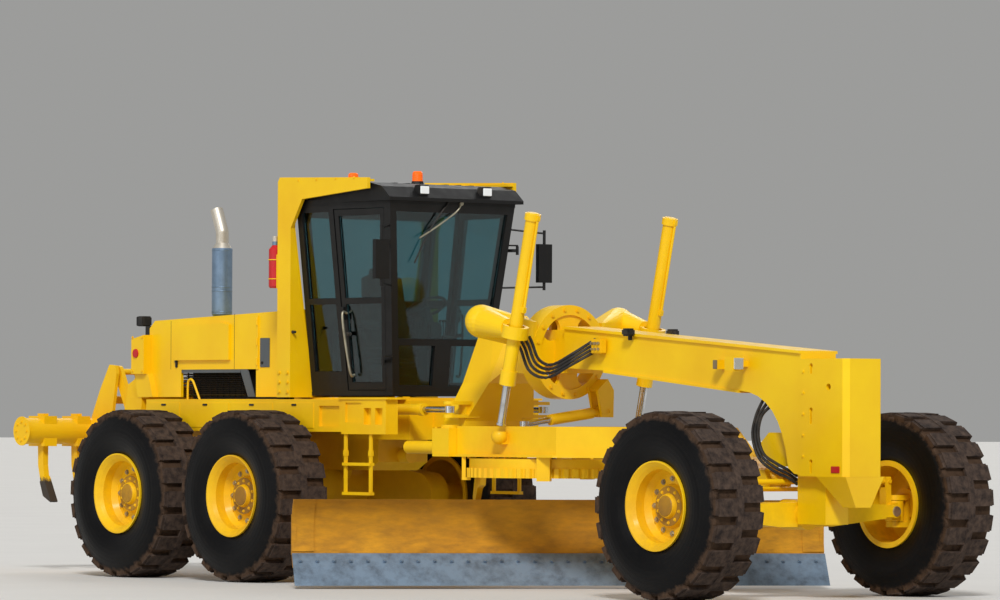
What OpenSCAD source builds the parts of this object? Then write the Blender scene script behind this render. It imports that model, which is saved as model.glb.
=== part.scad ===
// Motor grader with a rotating circle, a six-wheel running gear and a rear ripper.
// X points forward, Y to the machine's left, Z up, in millimetres.
// Every module works from the front axle's centre line on the ground and is moved by place().

/* [Overall] */
// Front axle to the nose's front face
nose_reach = 870; // [840:5:900]
// Front axle to the rear face of the ripper's shank holders
tail_reach = 10460; // [10420:10:10520]
// Front axle to the tandem's centre
wheelbase = 7080; // [7060:10:7100]
// Distance between the two rear axles
tandem_gap = 1840; // [1800:10:1880]
// Distance between the front wheels' centre planes
front_track = 2650; // [2630:5:2690]
// Distance between the rear wheels' centre planes
rear_track = 2490; // [2480:5:2530]

/* [Wheels] */
// Radius over the lugs
tyre_r = 800; // [785:1:810]
// Width of the tyre
tyre_w = 597; // [570:1:610]
// Depth of the tread's grooves
tread_depth = 42; // [30:1:50]
// Lugs on each half of the tread
lug_count = 22; // [18:1:26]
// Radius of the rim's flanges
rim_r = 381; // [370:1:390]
// Distance between the rim's outer faces
rim_w = 540; // [520:1:550]
// Radius of the wheel spindles
spindle_r = 55; // [45:1:65]

/* [Front frame] */
// Half width of the boom's webs
boom_half = 200; // [190:1:210]
// Thickness of the boom's flanges
flange_t = 25; // [18:1:30]
// Half width of the nose block
nose_half = 220; // [218:1:226]
// Height of the nose block's top
nose_top = 2050; // [2040:1:2056]
// Radius of the cross hole in the nose
nose_hole_r = 28; // [20:1:32]
// Height of the boom's top at the lift ring
boom_rear_top = 2360; // [2350:1:2375]
// Radius of the articulation pin
hitch_pin_r = 60; // [50:1:65]

/* [Lift ring] */
// Outer radius of the ring
ring_r = 425; // [415:1:430]
// Radius of the ring's opening
ring_bore_r = 335; // [325:1:345]
// Length of the ring along the frame
ring_len = 200; // [180:1:220]

/* [Front axle] */
// Half height of the axle beam at its middle
axle_half_h = 105; // [95:1:110]
// Radius of the lean pins
lean_pin_r = 32; // [26:1:36]
// Radius of the kingpins
kingpin_r = 40; // [34:1:44]
// Radius of the axle's pivot pin
pivot_r = 60; // [50:1:70]

/* [Drawbar and circle] */
// Height of the drawbar's side beams
beam_h = 250; // [230:1:260]
// Thickness of the drawbar's side beams
beam_t = 90; // [80:1:96]
// Outer radius of the circle
circle_r = 900; // [880:1:905]
// Inner radius of the circle
circle_bore_r = 720; // [700:1:740]
// Height of the circle's band
circle_h = 170; // [150:1:175]
// Radius of the drawbar's ball
ball_r = 90; // [80:1:95]

/* [Blade] */
// Length of the blade with its end bits
blade_len = 4877; // [4800:1:4900]
// Angle between the blade and the axle line
blade_angle = 30; // [25:1:30]
// Thickness of the moldboard
mold_t = 25; // [20:1:30]
// Radius of the moldboard's face
mold_r = 380; // [375:1:400]
// Height of the blade's lowest edge above the ground
edge_low = 30; // [25:1:60]
// Thickness of the cutting edge
edge_t = 25; // [20:1:28]

/* [Cylinders] */
// Outer radius of the lift cylinders
lift_r = 60; // [54:1:64]
// Radius of the lift cylinders' rods
lift_rod_r = 35; // [30:1:38]
// Outer radius of the articulation cylinders
art_r = 50; // [44:1:54]
// Radius of the articulation cylinders' rods
art_rod_r = 28; // [22:1:32]
// Outer radius of the drawbar shift cylinder
shift_r = 50; // [44:1:54]
// Radius of the drawbar shift cylinder's rod
shift_rod_r = 28; // [22:1:32]

/* [Cab] */
// Height of the cab's floor
cab_floor = 1740; // [1735:1:1760]
// Height of the eaves
cab_eave = 3530; // [3500:1:3560]
// Height of the roof rails' top
cab_top = 3780; // [3760:1:3800]
// Thickness of the cab's walls
cab_wall = 60; // [50:1:65]
// Thickness of the glass
glass_t = 8; // [6:1:10]

/* [Hood] */
// Half width of the hood
hood_half = 550; // [530:1:560]
// Thickness of the hood's walls
hood_t = 30; // [20:1:40]
// Height of the hood's top at its rear end
hood_rear_top = 2465; // [2440:1:2480]
// Height of the hood's top at its front end
hood_front_top = 2550; // [2530:1:2560]
// Outer radius of the exhaust's muffler
muffler_r = 100; // [85:1:110]

/* [Ripper] */
// Radius of the ripper's beam
ripper_r = 130; // [120:1:140]
// Length of the ripper's beam
ripper_len = 2150; // [2100:10:2200]
// Distance between neighbouring shanks
shank_gap = 400; // [380:5:420]

/* [Hidden] */
$fn = 48;

yellow = "#f4c81a";
black = "#1c1c1e";
rubber = "#2e2b29";
steel = "#8c949c";
chrome = "#c9ced4";
glass = "#5f9aa0";

// Clearance of a pin or rod that turns or slides in its bore
fit = 0.05;
// Gap between faces of neighbouring bodies
seat = 0.3;
// Reach of a cut past the faces that it goes through
over = 10;

axle_x = (tail_reach - nose_reach) / 2;
module place() translate([axle_x, 0, 0]) children();

module rod(a, b, r) {
    d = b - a;
    translate(a)
        rotate([0, acos(d[2] / norm(d)), atan2(d[1], d[0])])
            cylinder(r = r, h = norm(d));
}
// A box between two opposite corners
module block(a, b) translate(a) cube(b - a);
// A side outline in X and Z, as wide as w about the plane y
module side_plate(points, w, y = 0)
    translate([0, y, 0]) rotate([90, 0, 0]) linear_extrude(w, center = true) polygon(points);
// A cross outline in Y and Z from x for a length of w
module cross_plate(points, x, w)
    translate([x, 0, 0]) rotate([90, 0, 90]) linear_extrude(w) polygon(points);
// A plan outline in X and Y from z for a height of h
module plan_plate(points, z, h) translate([0, 0, z]) linear_extrude(h) polygon(points);
module disc_y(c, r, w) translate(c) rotate([90, 0, 0]) cylinder(r = r, h = w, center = true);
module disc_x(c, r, w) translate(c) rotate([0, 90, 0]) cylinder(r = r, h = w, center = true);
module left() mirror([0, 1, 0]) children();
function bezier(a, b, c, n) = [for (i = [0 : n]) let (t = i / n)
    (1 - t) * (1 - t) * a + 2 * t * (1 - t) * b + t * t * c];

// Wheels
hub_in = 60;
bead_r = 357;
bead_half = 248;
groove_r = tyre_r - tread_depth;
rib_half = 32;
shoulder_y = 235;
side_bulge = 50;
function side_y(r) = tyre_w / 2 - side_bulge * pow((r - 575) / 190, 2);
carcass_half = [for (r = [386 : 40 : 746]) [r, side_y(r)]];
function flip(points) = [for (i = [len(points) - 1 : -1 : 0]) [points[i][0], -points[i][1]]];

// One toothed ring of lugs: tip radius, share of the pitch that is lug, turn in pitches
module lug_ring(tip, share, turn, y0, y1) {
    pitch = 360 / lug_count;
    half = pitch * share / 2;
    base = groove_r - 19;
    flank = [[base, -half], [tip, -half], [tip, half], [base, half]];
    translate([0, y1, 0]) rotate([90, 0, 0]) linear_extrude(y1 - y0) difference() {
        polygon([for (i = [0 : lug_count - 1]) for (k = flank) let (a = (i + turn) * pitch - 90 + k[1])
            [k[0] * cos(a), k[0] * sin(a)]]);
        circle(r = groove_r - 60);
    }
}
module tyre(turn) {
    color(rubber) union() {
        rotate([90, 0, 0]) rotate_extrude($fn = 96) polygon(concat(
            [[bead_r, -bead_half], [bead_r, bead_half], [384, bead_half]],
            carcass_half,
            [[groove_r, 238], [groove_r, rib_half], [tyre_r, rib_half],
             [tyre_r, -rib_half], [groove_r, -rib_half], [groove_r, -238]],
            flip(carcass_half),
            [[384, -bead_half]]));
        for (s = [0, 1]) mirror([0, s, 0]) {
            lug_ring(tyre_r - 2, 0.66, turn + s * 0.5, rib_half - 2, shoulder_y);
            lug_ring(tyre_r - 14, 0.6, turn + s * 0.5, shoulder_y - 1, shoulder_y + 30);
        }
    }
}
// The rim's dish opens outward, to -Y
module rim() {
    well = bead_r - seat;
    in_r = 335;
    color(yellow) rotate([90, 0, 0]) difference() {
        rotate_extrude($fn = 96) polygon([
            [0, -hub_in], [140, -hub_in], [140, 40], [in_r, 40], [in_r, -rim_w / 2], [rim_r, -rim_w / 2],
            [rim_r, -bead_half - seat], [well, -bead_half - seat], [well, bead_half + seat],
            [rim_r, bead_half + seat], [rim_r, rim_w / 2], [rim_r - 12, rim_w / 2], [in_r, rim_w / 2 - 30],
            [in_r - 25, rim_w / 2 - 60], [in_r - 25, 120], [in_r - 60, 66], [190, 66], [170, 110],
            [110, 110], [95, 150], [0, 150]]);
        translate([0, 0, -hub_in - 1]) cylinder(r = spindle_r + fit, h = 120);
    }
}
wheel_at = [
    // name, x, half track, side
    ["fr", 0, front_track / 2, -1],
    ["fl", 0, front_track / 2, 1],
    ["mr", -wheelbase + tandem_gap / 2, rear_track / 2, -1],
    ["ml", -wheelbase + tandem_gap / 2, rear_track / 2, 1],
    ["rr", -wheelbase - tandem_gap / 2, rear_track / 2, -1],
    ["rl", -wheelbase - tandem_gap / 2, rear_track / 2, 1]];
module at_wheel(i) {
    w = wheel_at[i];
    place() translate([w[1], w[3] * w[2], tyre_r]) mirror([0, w[3] > 0 ? 1 : 0, 0]) children();
}

// Front frame
boom_front_top = 2085;
boom_slope = (boom_rear_top - boom_front_top) / 3620;
boom_back = -2890;
function boom_z(x) = boom_rear_top - boom_slope * (x - boom_back);
ring_x = -3150;
ring_z = 2130;
core_half = 165;
core_low = 1940;
core_high = 2330;
hitch_x = -4550;
hitch_low = 1340;
hitch_high = 1690;
hitch_plate = 90;
axle_z = 720;
carrier_low = axle_z - 80;
nose_low = 1050;
nose_back = 280;

module slot_pocket(x, z, h) {
    for (s = [-1, 1]) {
        block([x - 12, s * nose_half - 35, z - h / 2], [x + 12, s * nose_half + 35, z + h / 2]);
        disc_y([x, s * nose_half, z + h / 2], 20, 70);
        disc_y([x, s * nose_half, z - h / 2], 12, 70);
    }
}
module front_frame() {
    color(yellow) place() {
        // Boom webs, with the lower edge curving down behind the nose
        side_plate(concat(
            [[boom_back, 1985], [boom_back, boom_z(boom_back) - flange_t],
             [nose_back, boom_z(nose_back) - flange_t], [nose_back, nose_low + 10], [200, nose_low + 20]],
            bezier([120, 1120], [20, 1760], [-510, 1780], 8),
            [[-2330, 1960]]), 2 * boom_half);
        // Top and bottom flanges
        side_plate([[boom_back, boom_z(boom_back) - flange_t], [boom_back, boom_z(boom_back)],
            [nose_back, boom_z(nose_back)], [nose_back, boom_z(nose_back) - flange_t]], 2 * boom_half + 40);
        side_plate([[-2330, 1960], [-510, 1780], [-510, 1780 - 20], [-2330, 1960 - 20]], 2 * boom_half + 30);
        // Nose block with bevelled front corners and its tapered foot
        difference() {
            plan_plate([[nose_back, -nose_half], [nose_reach - 45, -nose_half], [nose_reach, -nose_half + 45],
                [nose_reach, nose_half - 45], [nose_reach - 45, nose_half], [nose_back, nose_half]],
                nose_low, nose_top - nose_low);
            disc_y([650, 0, 1810], nose_hole_r, 3 * nose_half);
            slot_pocket(430, 1960, 60);
            slot_pocket(430, 1560, 110);
            slot_pocket(430, 1130, 90);
        }
        hull() {
            block([500, -nose_half, nose_low - 1], [nose_reach - 2, nose_half, nose_low]);
            block([690, -85, 790], [nose_reach - 20, 85, 792]);
        }
        // Carrier of the axle's pivot pin
        block([165, -130, carrier_low], [520, 130, nose_low]);
        side_plate([[165, nose_low - 1], [165, 1160], [282, 1160], [282, nose_low - 1]], 260);
        disc_x([0, 0, axle_z], pivot_r, 330);
        // Frame core through the lift ring
        block([-3750, -core_half, core_low], [boom_back, core_half, core_high]);
        for (x = [ring_x - ring_len / 2 + 20, ring_x + ring_len / 2 - 60])
            difference() {
                disc_x([x + 20, 0, ring_z], ring_bore_r - seat, 40);
                for (a = [0 : 90 : 270]) translate([x + 20, 0, ring_z]) rotate([a + 45, 0, 0])
                    translate([0, 0, 290]) rotate([0, 90, 0]) cylinder(r = 105, h = 60, center = true);
            }
        // Neck down to the articulation
        block([-4370, -400, hitch_low], [-4060, 400, 1510]);
        hull() {
            block([-4370, -400, 1505], [-4060, 400, 1510]);
            block([-4270, -265, 1850], [-3890, 265, 1855]);
        }
        hull() {
            block([-4270, -265, 1850], [-3890, 265, 1855]);
            block([-4040, -185, 2400], [-3900, 185, 2470]);
            block([-3900, -185, 2000], [-3700, 185, core_high]);
        }
        block([-3760, -core_half, core_low], [-3740, core_half, core_high]);
        // Articulation plates and pin
        for (z = [hitch_low, hitch_high - hitch_plate]) {
            translate([hitch_x, 0, z]) cylinder(r = 165, h = hitch_plate);
            block([hitch_x, -165, z], [-4300, 165, z + hitch_plate]);
        }
        translate([hitch_x, 0, hitch_low]) cylinder(r = hitch_pin_r, h = hitch_high - hitch_low);
        // Front lugs of the articulation cylinders
        for (s = [-1, 1]) for (z = [art_z - 75, art_z + 45]) {
            block([-4160, min(s * 250, s * art_y), z], [-4040, max(s * 250, s * art_y), z + 30]);
            translate([art_front_x, s * art_y, z]) cylinder(r = 60, h = 30);
        }
        for (s = [-1, 1]) block([-4160, min(s * 250, s * 400), hitch_low + 10], [-4060, max(s * 250, s * 400), art_z + 75]);
        // Carrier of the drawbar's ball
        difference() {
            side_plate([[-370, 1130], [-370, 1300], [-230, 1420], [200, 1420], [200, 1130]], 220);
            side_plate([[-370, 1100], [-370, 1215], [-225, 1215], [-225, 1100]], 300);
        }
        // Head lamp brackets and housings
        for (s = [-1, 1]) {
            block([-440, min(s * 200, s * 330), 1985], [-400, max(s * 200, s * 330), 2035]);
            block([-480, min(s * 280, s * 400), 1950], [-370, max(s * 280, s * 400), 2070]);
            block([-740, min(s * 200, s * 300), 1965], [-690, max(s * 200, s * 300), 2045]);
        }
    }
}

// Lift ring with the two arms and yokes of the lift cylinders
lift_y = 800;
lift_top_x = -2850;
lift_top_z = 2300;
lift_ball_x = -3070;
lift_ball_z = 1370;
lift_lean = atan2(lift_top_x - lift_ball_x, lift_top_z - lift_ball_z);
yoke_r = 85;
module at_lift(s) translate([lift_top_x, s * lift_y, lift_top_z]) rotate([0, lift_lean, 0]) children();
module lift_ring() {
    color(yellow) place() {
        difference() {
            disc_x([ring_x, 0, ring_z], ring_r, ring_len);
            disc_x([ring_x, 0, ring_z], ring_bore_r, ring_len + 2 * over);
        }
        for (s = [-1, 1]) {
            // Arm from the ring out to the rounded head behind the cylinder
            difference() {
                union() {
                    hull() {
                        block([-3240, s * 400 - 20, 2170], [-3060, s * 400 + 20, 2400]);
                        translate([-3330, s * 800, 2400]) sphere(r = 150, $fn = 24);
                    }
                    hull() {
                        translate([-3330, s * 800, 2400]) sphere(r = 140, $fn = 24);
                        translate([-2950, s * lift_y, 2330]) rotate([0, 90, 0])
                            cylinder(r = 90, h = 20, center = true, $fn = 24);
                    }
                }
                at_lift(s) cylinder(r = yoke_r + 1, h = 700, center = true);
                at_lift(s) rotate([0, 90, 0]) cylinder(r = 20 + fit, h = 240, center = true);
            }
            // Yoke round the cylinder
            at_lift(s) difference() {
                cylinder(r = yoke_r + 32, h = 110, center = true);
                cylinder(r = yoke_r, h = 130, center = true);
                rotate([0, 90, 0]) cylinder(r = 20 + fit, h = 300, center = true);
            }
        }
        // Bracket of the drawbar shift cylinder under the ring
        difference() {
            union() {
                cross_plate([[210, 1790], [400, 1700], [400, 1790], [330, 1890]], -3070, 160);
                for (x = [-3060, -2940]) cross_plate([[210, 1790], [265, 1545], [395, 1545], [400, 1760]], x, 30);
            }
            disc_x(shift_a, 22 + fit, 400);
        }
    }
}

// Front axle
lean_y = 1050;
lean_z = 740;
lean_top_y = lean_y;
lean_top_z = 1000;
kingpin_y = 1150;
eye_half = 25;
eye_pin_r = 18;
lug_in = 95;
lug_out = 135;
module axle_beam() {
    color(yellow) place() difference() {
        union() {
            cross_plate([[-930, 680], [-300, axle_z - axle_half_h], [300, axle_z - axle_half_h],
                [930, 680], [930, 800], [300, axle_z + axle_half_h], [-300, axle_z + axle_half_h],
                [-930, 800]], -lug_out, 2 * lug_out);
            disc_x([12, 0, axle_z], 130, 306);
            for (s = [-1, 1]) for (x = [-lug_out, lug_in]) {
                block([x, min(s * 920, s * lean_y), 690], [x + lug_out - lug_in, max(s * 920, s * lean_y), 790]);
                disc_x([x + (lug_out - lug_in) / 2, s * lean_y, lean_z], 58, lug_out - lug_in);
            }
        }
        disc_x([0, 0, axle_z], pivot_r, 400);
        for (s = [-1, 1]) disc_x([0, s * lean_y, lean_z], lean_pin_r + fit, 400);
    }
}
module lean_bracket() {
    color(yellow) place() difference() {
        union() {
            disc_x([0, -lean_y, lean_z], 60, 2 * lug_in - 10);
            disc_x([0, -lean_y, lean_z], lean_pin_r, 2 * lug_out + 20);
            side_plate([[-42, 690], [42, 690], [42, 1025], [32, 1040], [-32, 1040], [-42, 1025]], 60, -lean_top_y + 8);
            block([-75, -kingpin_y, 665], [75, -lean_y, 815]);
            translate([0, -kingpin_y, 650]) cylinder(r = 80, h = 180);
        }
        translate([0, -kingpin_y, 500]) cylinder(r = kingpin_r + fit, h = 500);
        block([-eye_half - seat, -lean_top_y - 60, 948], [eye_half + seat, -lean_top_y + 60, 1060]);
    }
    color(yellow) place() disc_x([0, -lean_top_y, lean_top_z], eye_pin_r, 110);
}
module lean_bar() {
    color(yellow) place() {
        difference() {
            union() {
                rod([0, -lean_top_y + 30, lean_top_z], [0, lean_top_y - 30, lean_top_z], 24);
                for (s = [-1, 1]) disc_x([0, s * lean_top_y, lean_top_z], 38, 2 * eye_half);
            }
            for (s = [-1, 1]) disc_x([0, s * lean_top_y, lean_top_z], eye_pin_r + fit, 200);
        }
    }
}
knuckle_low = 600;
knuckle_high = 835;
knuckle_t = 45;
arm_x = -80;
stud_r = 15;
stud_top = 960;
tie_pad_t = 30;
tie_x = arm_x - stud_r - seat - tie_pad_t / 2;
tie_z = 935;
module knuckle() {
    color(yellow) place() {
        translate([0, -kingpin_y, knuckle_low]) cylinder(r = kingpin_r, h = knuckle_high + knuckle_t - knuckle_low);
        for (z = [knuckle_low, knuckle_high]) {
            translate([0, -kingpin_y, z]) cylinder(r = 75, h = knuckle_t);
            block([-75, -kingpin_y - 95, z], [75, -kingpin_y, z + knuckle_t]);
        }
        block([-75, -kingpin_y - 112, knuckle_low], [75, -kingpin_y - 86, knuckle_high + knuckle_t]);
        rod([0, -kingpin_y - 100, tyre_r], [0, -kingpin_y - 210, tyre_r], spindle_r);
        // Steering arm with its upright stud
        block([arm_x - stud_r, -kingpin_y - 20, knuckle_high], [0, -kingpin_y + 20, knuckle_high + knuckle_t]);
        translate([arm_x, -kingpin_y, knuckle_high]) cylinder(r = stud_r, h = stud_top - knuckle_high);
    }
}
// The tie rod's end plates stand behind the studs
module tie_rod() {
    color(yellow) place() {
        rod([tie_x, -kingpin_y, tie_z], [tie_x, kingpin_y, tie_z], 14);
        rod([tie_x, -kingpin_y + 140, tie_z], [tie_x, kingpin_y - 140, tie_z], 20);
        for (s = [-1, 1]) disc_x([tie_x, s * kingpin_y, tie_z], 30, tie_pad_t);
    }
}

// Drawbar: an A-frame from the ball to the circle
ball_x = -300;
ball_z = 1020;
cheek_t = 55;
ball_pin_r = 30;
circle_x = -3100;
circle_low = 1000;
circle_high = circle_low + circle_h;
plate_low = circle_high + 15;
plate_t = 25;
bar_low = plate_low + plate_t;
bar_high = bar_low + beam_h;
bar_y = 690;
// Rear ends of the beams, just before the circle drive's case
drive_front = -3755;
// Centre line of one side beam in plan
bar_plan = [[-900, 70], [-2350, bar_y], [drive_front, bar_y]];
function offset_y(points, dy, s) = [for (p = points) [p[0], s * (p[1] + dy)]];
function back(points) = [for (i = [len(points) - 1 : -1 : 0]) points[i]];
module drawbar_ball() {
    color(yellow) place() difference() {
        union() {
            translate([ball_x, 0, ball_z]) sphere(r = ball_r, $fn = 64);
            translate([ball_x, 0, ball_z]) cylinder(r = 50, h = 1215 - seat - ball_z);
        }
        disc_y([ball_x, 0, ball_z], ball_pin_r + fit, 3 * ball_r);
    }
}
module drawbar() {
    color(yellow) place() difference() {
        union() {
            for (s = [-1, 1]) {
                plan_plate(concat(offset_y(bar_plan, beam_t / 2, s), back(offset_y(bar_plan, -beam_t / 2, s))),
                    bar_low, beam_h);
                plan_plate(concat(offset_y(bar_plan, beam_t / 2 + 45, s),
                    back([for (p = bar_plan) [p[0], s * max(0, p[1] - 210)]])), plate_low, plate_t);
                // Cheek beside the ball, with its pin
                side_plate([[ball_x + 60, ball_z - 80], [ball_x + 85, ball_z], [ball_x + 60, ball_z + 80],
                    [-420, ball_z + 90], [-620, bar_low], [-900, bar_low], [-900, plate_low], [-640, ball_z - 80]],
                    cheek_t, s * (ball_r + 5 + cheek_t / 2));
                disc_y([ball_x, s * (ball_r + 5), ball_z], ball_pin_r, 90);
                // Seat of the lift cylinder's ball
                translate([lift_ball_x, s * lift_y, lift_ball_z]) difference() {
                    sphere(r = 72, $fn = 64);
                    translate([-100, -100, 44]) cube(200);
                }
                block([lift_ball_x - 45, min(s * bar_y, s * lift_y), lift_ball_z - 70],
                    [lift_ball_x + 45, max(s * bar_y, s * lift_y), lift_ball_z + 20]);
            }
            // Tongue between the cheeks and the beams
            block([-640, -ball_r - 10, ball_z - 80], [-420, ball_r + 10, ball_z + 80]);
            side_plate([[-420, ball_z + 90], [-620, bar_low], [-900, bar_high], [-1250, bar_high], [-1250, plate_low],
                [-900, plate_low], [-640, ball_z - 80], [-420, ball_z - 80]], 240);
            // Rear cross member, low under the frame
            block([-3880, -600, plate_low], [-3720, bar_y, bar_low + 30]);
            // Pad of the circle drive
            block([-3985, -840, plate_low], [-3740, -590, bar_low]);
            // Pad under the shift rod's eye
            block([-3045, -beam_in, shift_pad - 40], [-2925, -beam_in + 110, shift_pad]);
            // Shoes that carry the circle
            translate([circle_x, 0, 0]) for (a = [52, 128, 232, 308]) rotate([0, 0, a]) {
                block([circle_r + 5, -60, circle_low - 25], [circle_r + 40, 60, bar_low]);
                block([circle_r - 40, -60, circle_low - 25], [circle_r + 6, 60, circle_low - seat]);
                block([circle_r - 90, -60, circle_high + seat], [circle_r - 10, 60, plate_low + 1]);
            }
        }
    }
}
beam_in = bar_y - beam_t / 2 + 1;
module circle_drive() {
    color(yellow) place() {
        block([-4000, -830, bar_low + seat], [drive_front - 5, -610, 1440]);
        disc_x([-4015, -720, 1265], 66, 50);
        disc_x([-4240, -720, 1265], 60, 500);
        translate([-3880, -720, bar_low + seat]) cylinder(r = 80, h = 260);
    }
}
tooth_count = 64;
module circle_gear() {
    color(yellow) place() {
        translate([circle_x, 0, circle_low]) {
            difference() {
                cylinder(r = circle_r - 25, h = circle_h, $fn = 96);
                translate([0, 0, -over]) cylinder(r = circle_bore_r, h = circle_h + 2 * over, $fn = 96);
            }
            difference() {
                linear_extrude(circle_h / 2) polygon([for (i = [0 : tooth_count - 1]) for (k = [[-30, -0.5], [-2, -0.22], [-2, 0.22]])
                    let (a = (i + k[1]) * 360 / tooth_count) [(circle_r + k[0]) * cos(a), (circle_r + k[0]) * sin(a)]]);
                translate([0, 0, -over]) cylinder(r = circle_r - 60, h = circle_h, $fn = 96);
            }
        }
        // Arms down to the blade's tilt pins
        for (s = [-1, 1]) at_blade() difference() {
            cross_plate_uv([[-300, circle_low + 30], [60, circle_low + 30], [20, 930], [-150, 900], [-300, 770],
                [-318, 430], [-285, 250], [-330, 225], [-375, 250], [-430, 420], [-430, 820]], s * arm_u, arm_t);
            disc_u([s * arm_u, tilt_v, tilt_z], tilt_pin_r + fit, arm_t + 20);
        }
    }
}

// Blade. Its own axes: u along the blade to the left end, v forward, z up, from the circle's centre
arm_u = 760;
arm_t = 50;
tilt_v = -330;
tilt_z = 290;
tilt_pin_r = 30;
mold_v = -104;
mold_c = [mold_v + mold_r - 80, 480];
mold_high = 800;
mold_low = 185;
rail_back = mold_v - 130;
rail_z = [260, 640];
rail_h = 60;
rail_half = 1500;
end_back = mold_v - 110;
function face_v(z) = mold_c[0] - sqrt(mold_r * mold_r - pow(z - mold_c[1], 2));
edge_top = [face_v(300), 300];
edge_mid = [face_v(mold_low), mold_low];
edge_dir = (edge_mid - edge_top) / norm(edge_mid - edge_top);
edge_n = [-edge_dir[1], edge_dir[0]];
// Point on the edge's line, offset by d from the moldboard's face, at height z
function edge_at(d, z) = let (p = edge_top + edge_n * d) p + edge_dir * (z - p[1]) / edge_dir[1];
edge_front = edge_at(edge_t + seat, edge_low);
// The blade stands side-shifted so that its ends reach equally far to both sides
blade_shift = tan(blade_angle) / 2 * (edge_front[0] + end_back);
module at_blade() translate([circle_x, 0, 0]) rotate([0, 0, -blade_angle]) children();
// An outline in v and Z, centred on u with thickness w
module cross_plate_uv(points, u, w)
    translate([0, u, 0]) rotate([90, 0, 0]) linear_extrude(w, center = true) polygon(points);
module disc_u(c, r, w) translate([c[1], c[0], c[2]]) rotate([90, 0, 0]) cylinder(r = r, h = w, center = true);
module block_uv(a, b) translate([a[1], a[0], a[2]]) cube([b[1] - a[1], b[0] - a[0], b[2] - a[2]]);
module mold_skin(r0, r1, length, low) {
    rotate([90, 0, 0]) linear_extrude(length, center = true) difference() {
        translate(mold_c) circle(r = r1, $fn = 128);
        translate(mold_c) circle(r = r0, $fn = 128);
        translate([mold_c[0] - 600, mold_high]) square([1400, 600]);
        translate([mold_c[0] - 600, low - 600]) square([1400, 600]);
        translate([mold_c[0], mold_c[1] - 600]) square([600, 1200]);
    }
}
shift_travel = 550;
shift_u0 = -arm_u + 120;
shift_u1 = 560;
rod_in = -40;
rod_out = arm_u + shift_travel;
slide_v = -256;
slide_r = 40;
slide_rod_r = 22;
slide_z = 480;
module moldboard() {
    color(yellow) place() at_blade() translate([0, blade_shift, 0]) {
        mold_skin(mold_r, mold_r + mold_t, blade_len, mold_low);
        for (s = [-1, 1]) {
            translate([0, s * (blade_len / 2 - 100), 0]) mold_skin(mold_r - 12, mold_r + 1, 200, 330);
            block_uv([s * (blade_len / 2 - 20) - 20, end_back, 300], [s * (blade_len / 2 - 20) + 20, mold_v - 60, 660]);
        }
        for (z = rail_z) block_uv([-rail_half, rail_back, z], [rail_half, mold_v - 50, z + rail_h]);
        // Bracket of the side shift rod, and the rod
        translate([0, -blade_shift, 0]) {
            block_uv([rod_out, slide_v - 35, slide_z - 45], [rod_out + 40, mold_v - 95, slide_z + 45]);
            disc_u([(rod_out + rod_in + 20) / 2, slide_v, slide_z], slide_rod_r, rod_out - rod_in + 20);
        }
    }
}
module cutting_edge() {
    color(steel) place() at_blade() translate([0, blade_shift, 0])
        cross_plate_uv([edge_at(seat, 300), edge_at(edge_t + seat, 315), edge_front, edge_at(seat, edge_low)], 0, blade_len);
}
module blade_arms() {
    color(yellow) place() at_blade() {
        difference() {
            union() {
                for (s = [-1, 1]) {
                    u = s * (arm_u - 60);
                    cross_plate_uv([[rail_back - seat, 225], [rail_back - seat, 735], [-290, 735], [-300, 380], [-385, 330],
                        [-385, 260], [-330, 225]], u, 60);
                    disc_u([s * (arm_u - 5), tilt_v, tilt_z], tilt_pin_r, 130);
                    for (z = rail_z) for (dz = [-30 - seat, rail_h + seat])
                        block_uv([u - 30, rail_back - 1, z + dz], [u + 30, -200, z + dz + 30]);
                }
                disc_u([(shift_u0 + shift_u1) / 2, slide_v, slide_z], slide_r, shift_u1 - shift_u0);
                block_uv([shift_u0 - 90, slide_v - 30, slide_z - 50], [shift_u0 + 5, slide_v + 30, slide_z + 50]);
            }
            disc_u([(rod_in - shift_travel - over + rod_out) / 2, slide_v, slide_z], slide_rod_r + fit,
                rod_out - rod_in + shift_travel + over);
        }
    }
}

// Cylinders
lift_len = norm([lift_top_x - lift_ball_x, lift_top_z - lift_ball_z]);
lift_gland = -482;
lift_head = 1075;
lift_rod_top = 300;
module lift_barrel(s) {
    color(yellow) place() at_lift(s) difference() {
        union() {
            translate([0, 0, lift_gland + 70]) cylinder(r = lift_r, h = lift_head - lift_gland - 70);
            translate([0, 0, lift_gland]) cylinder(r = lift_r + 14, h = 130);
            translate([0, 0, lift_head - 60]) cylinder(r = lift_r + 12, h = 60);
            rotate([0, 90, 0]) cylinder(r = 20, h = 2 * (yoke_r + 30), center = true);
            // Oil pipe along the barrel
            translate([lift_r + 17, 0, 215]) cylinder(r = 12, h = lift_head - 245);
            block([lift_r - 20, -16, 190], [lift_r + 31, 16, 240]);
            block([lift_r - 20, -16, lift_head - 50], [lift_r + 31, 16, lift_head - 10]);
        }
        translate([0, 0, lift_gland - over]) cylinder(r = lift_rod_r + fit, h = lift_head - lift_gland - 40);
    }
}
module lift_rod(s) {
    color(chrome) place() at_lift(s) {
        translate([0, 0, -lift_len + 112]) cylinder(r = lift_rod_r, h = lift_len - 112 + lift_rod_top);
        translate([0, 0, -lift_len + 104]) cylinder(r = 42, h = 20);
    }
}
shift_a = [-2985, 330, 1600];
shift_b = [-2985, -580, 1480];
shift_dir = (shift_b - shift_a) / norm(shift_b - shift_a);
shift_len = norm(shift_b - shift_a);
shift_gland = 620;
shift_rod_in = 380;
shift_eye_h = 50;
shift_pad = shift_b[2] - shift_eye_h / 2 - 45;
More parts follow.
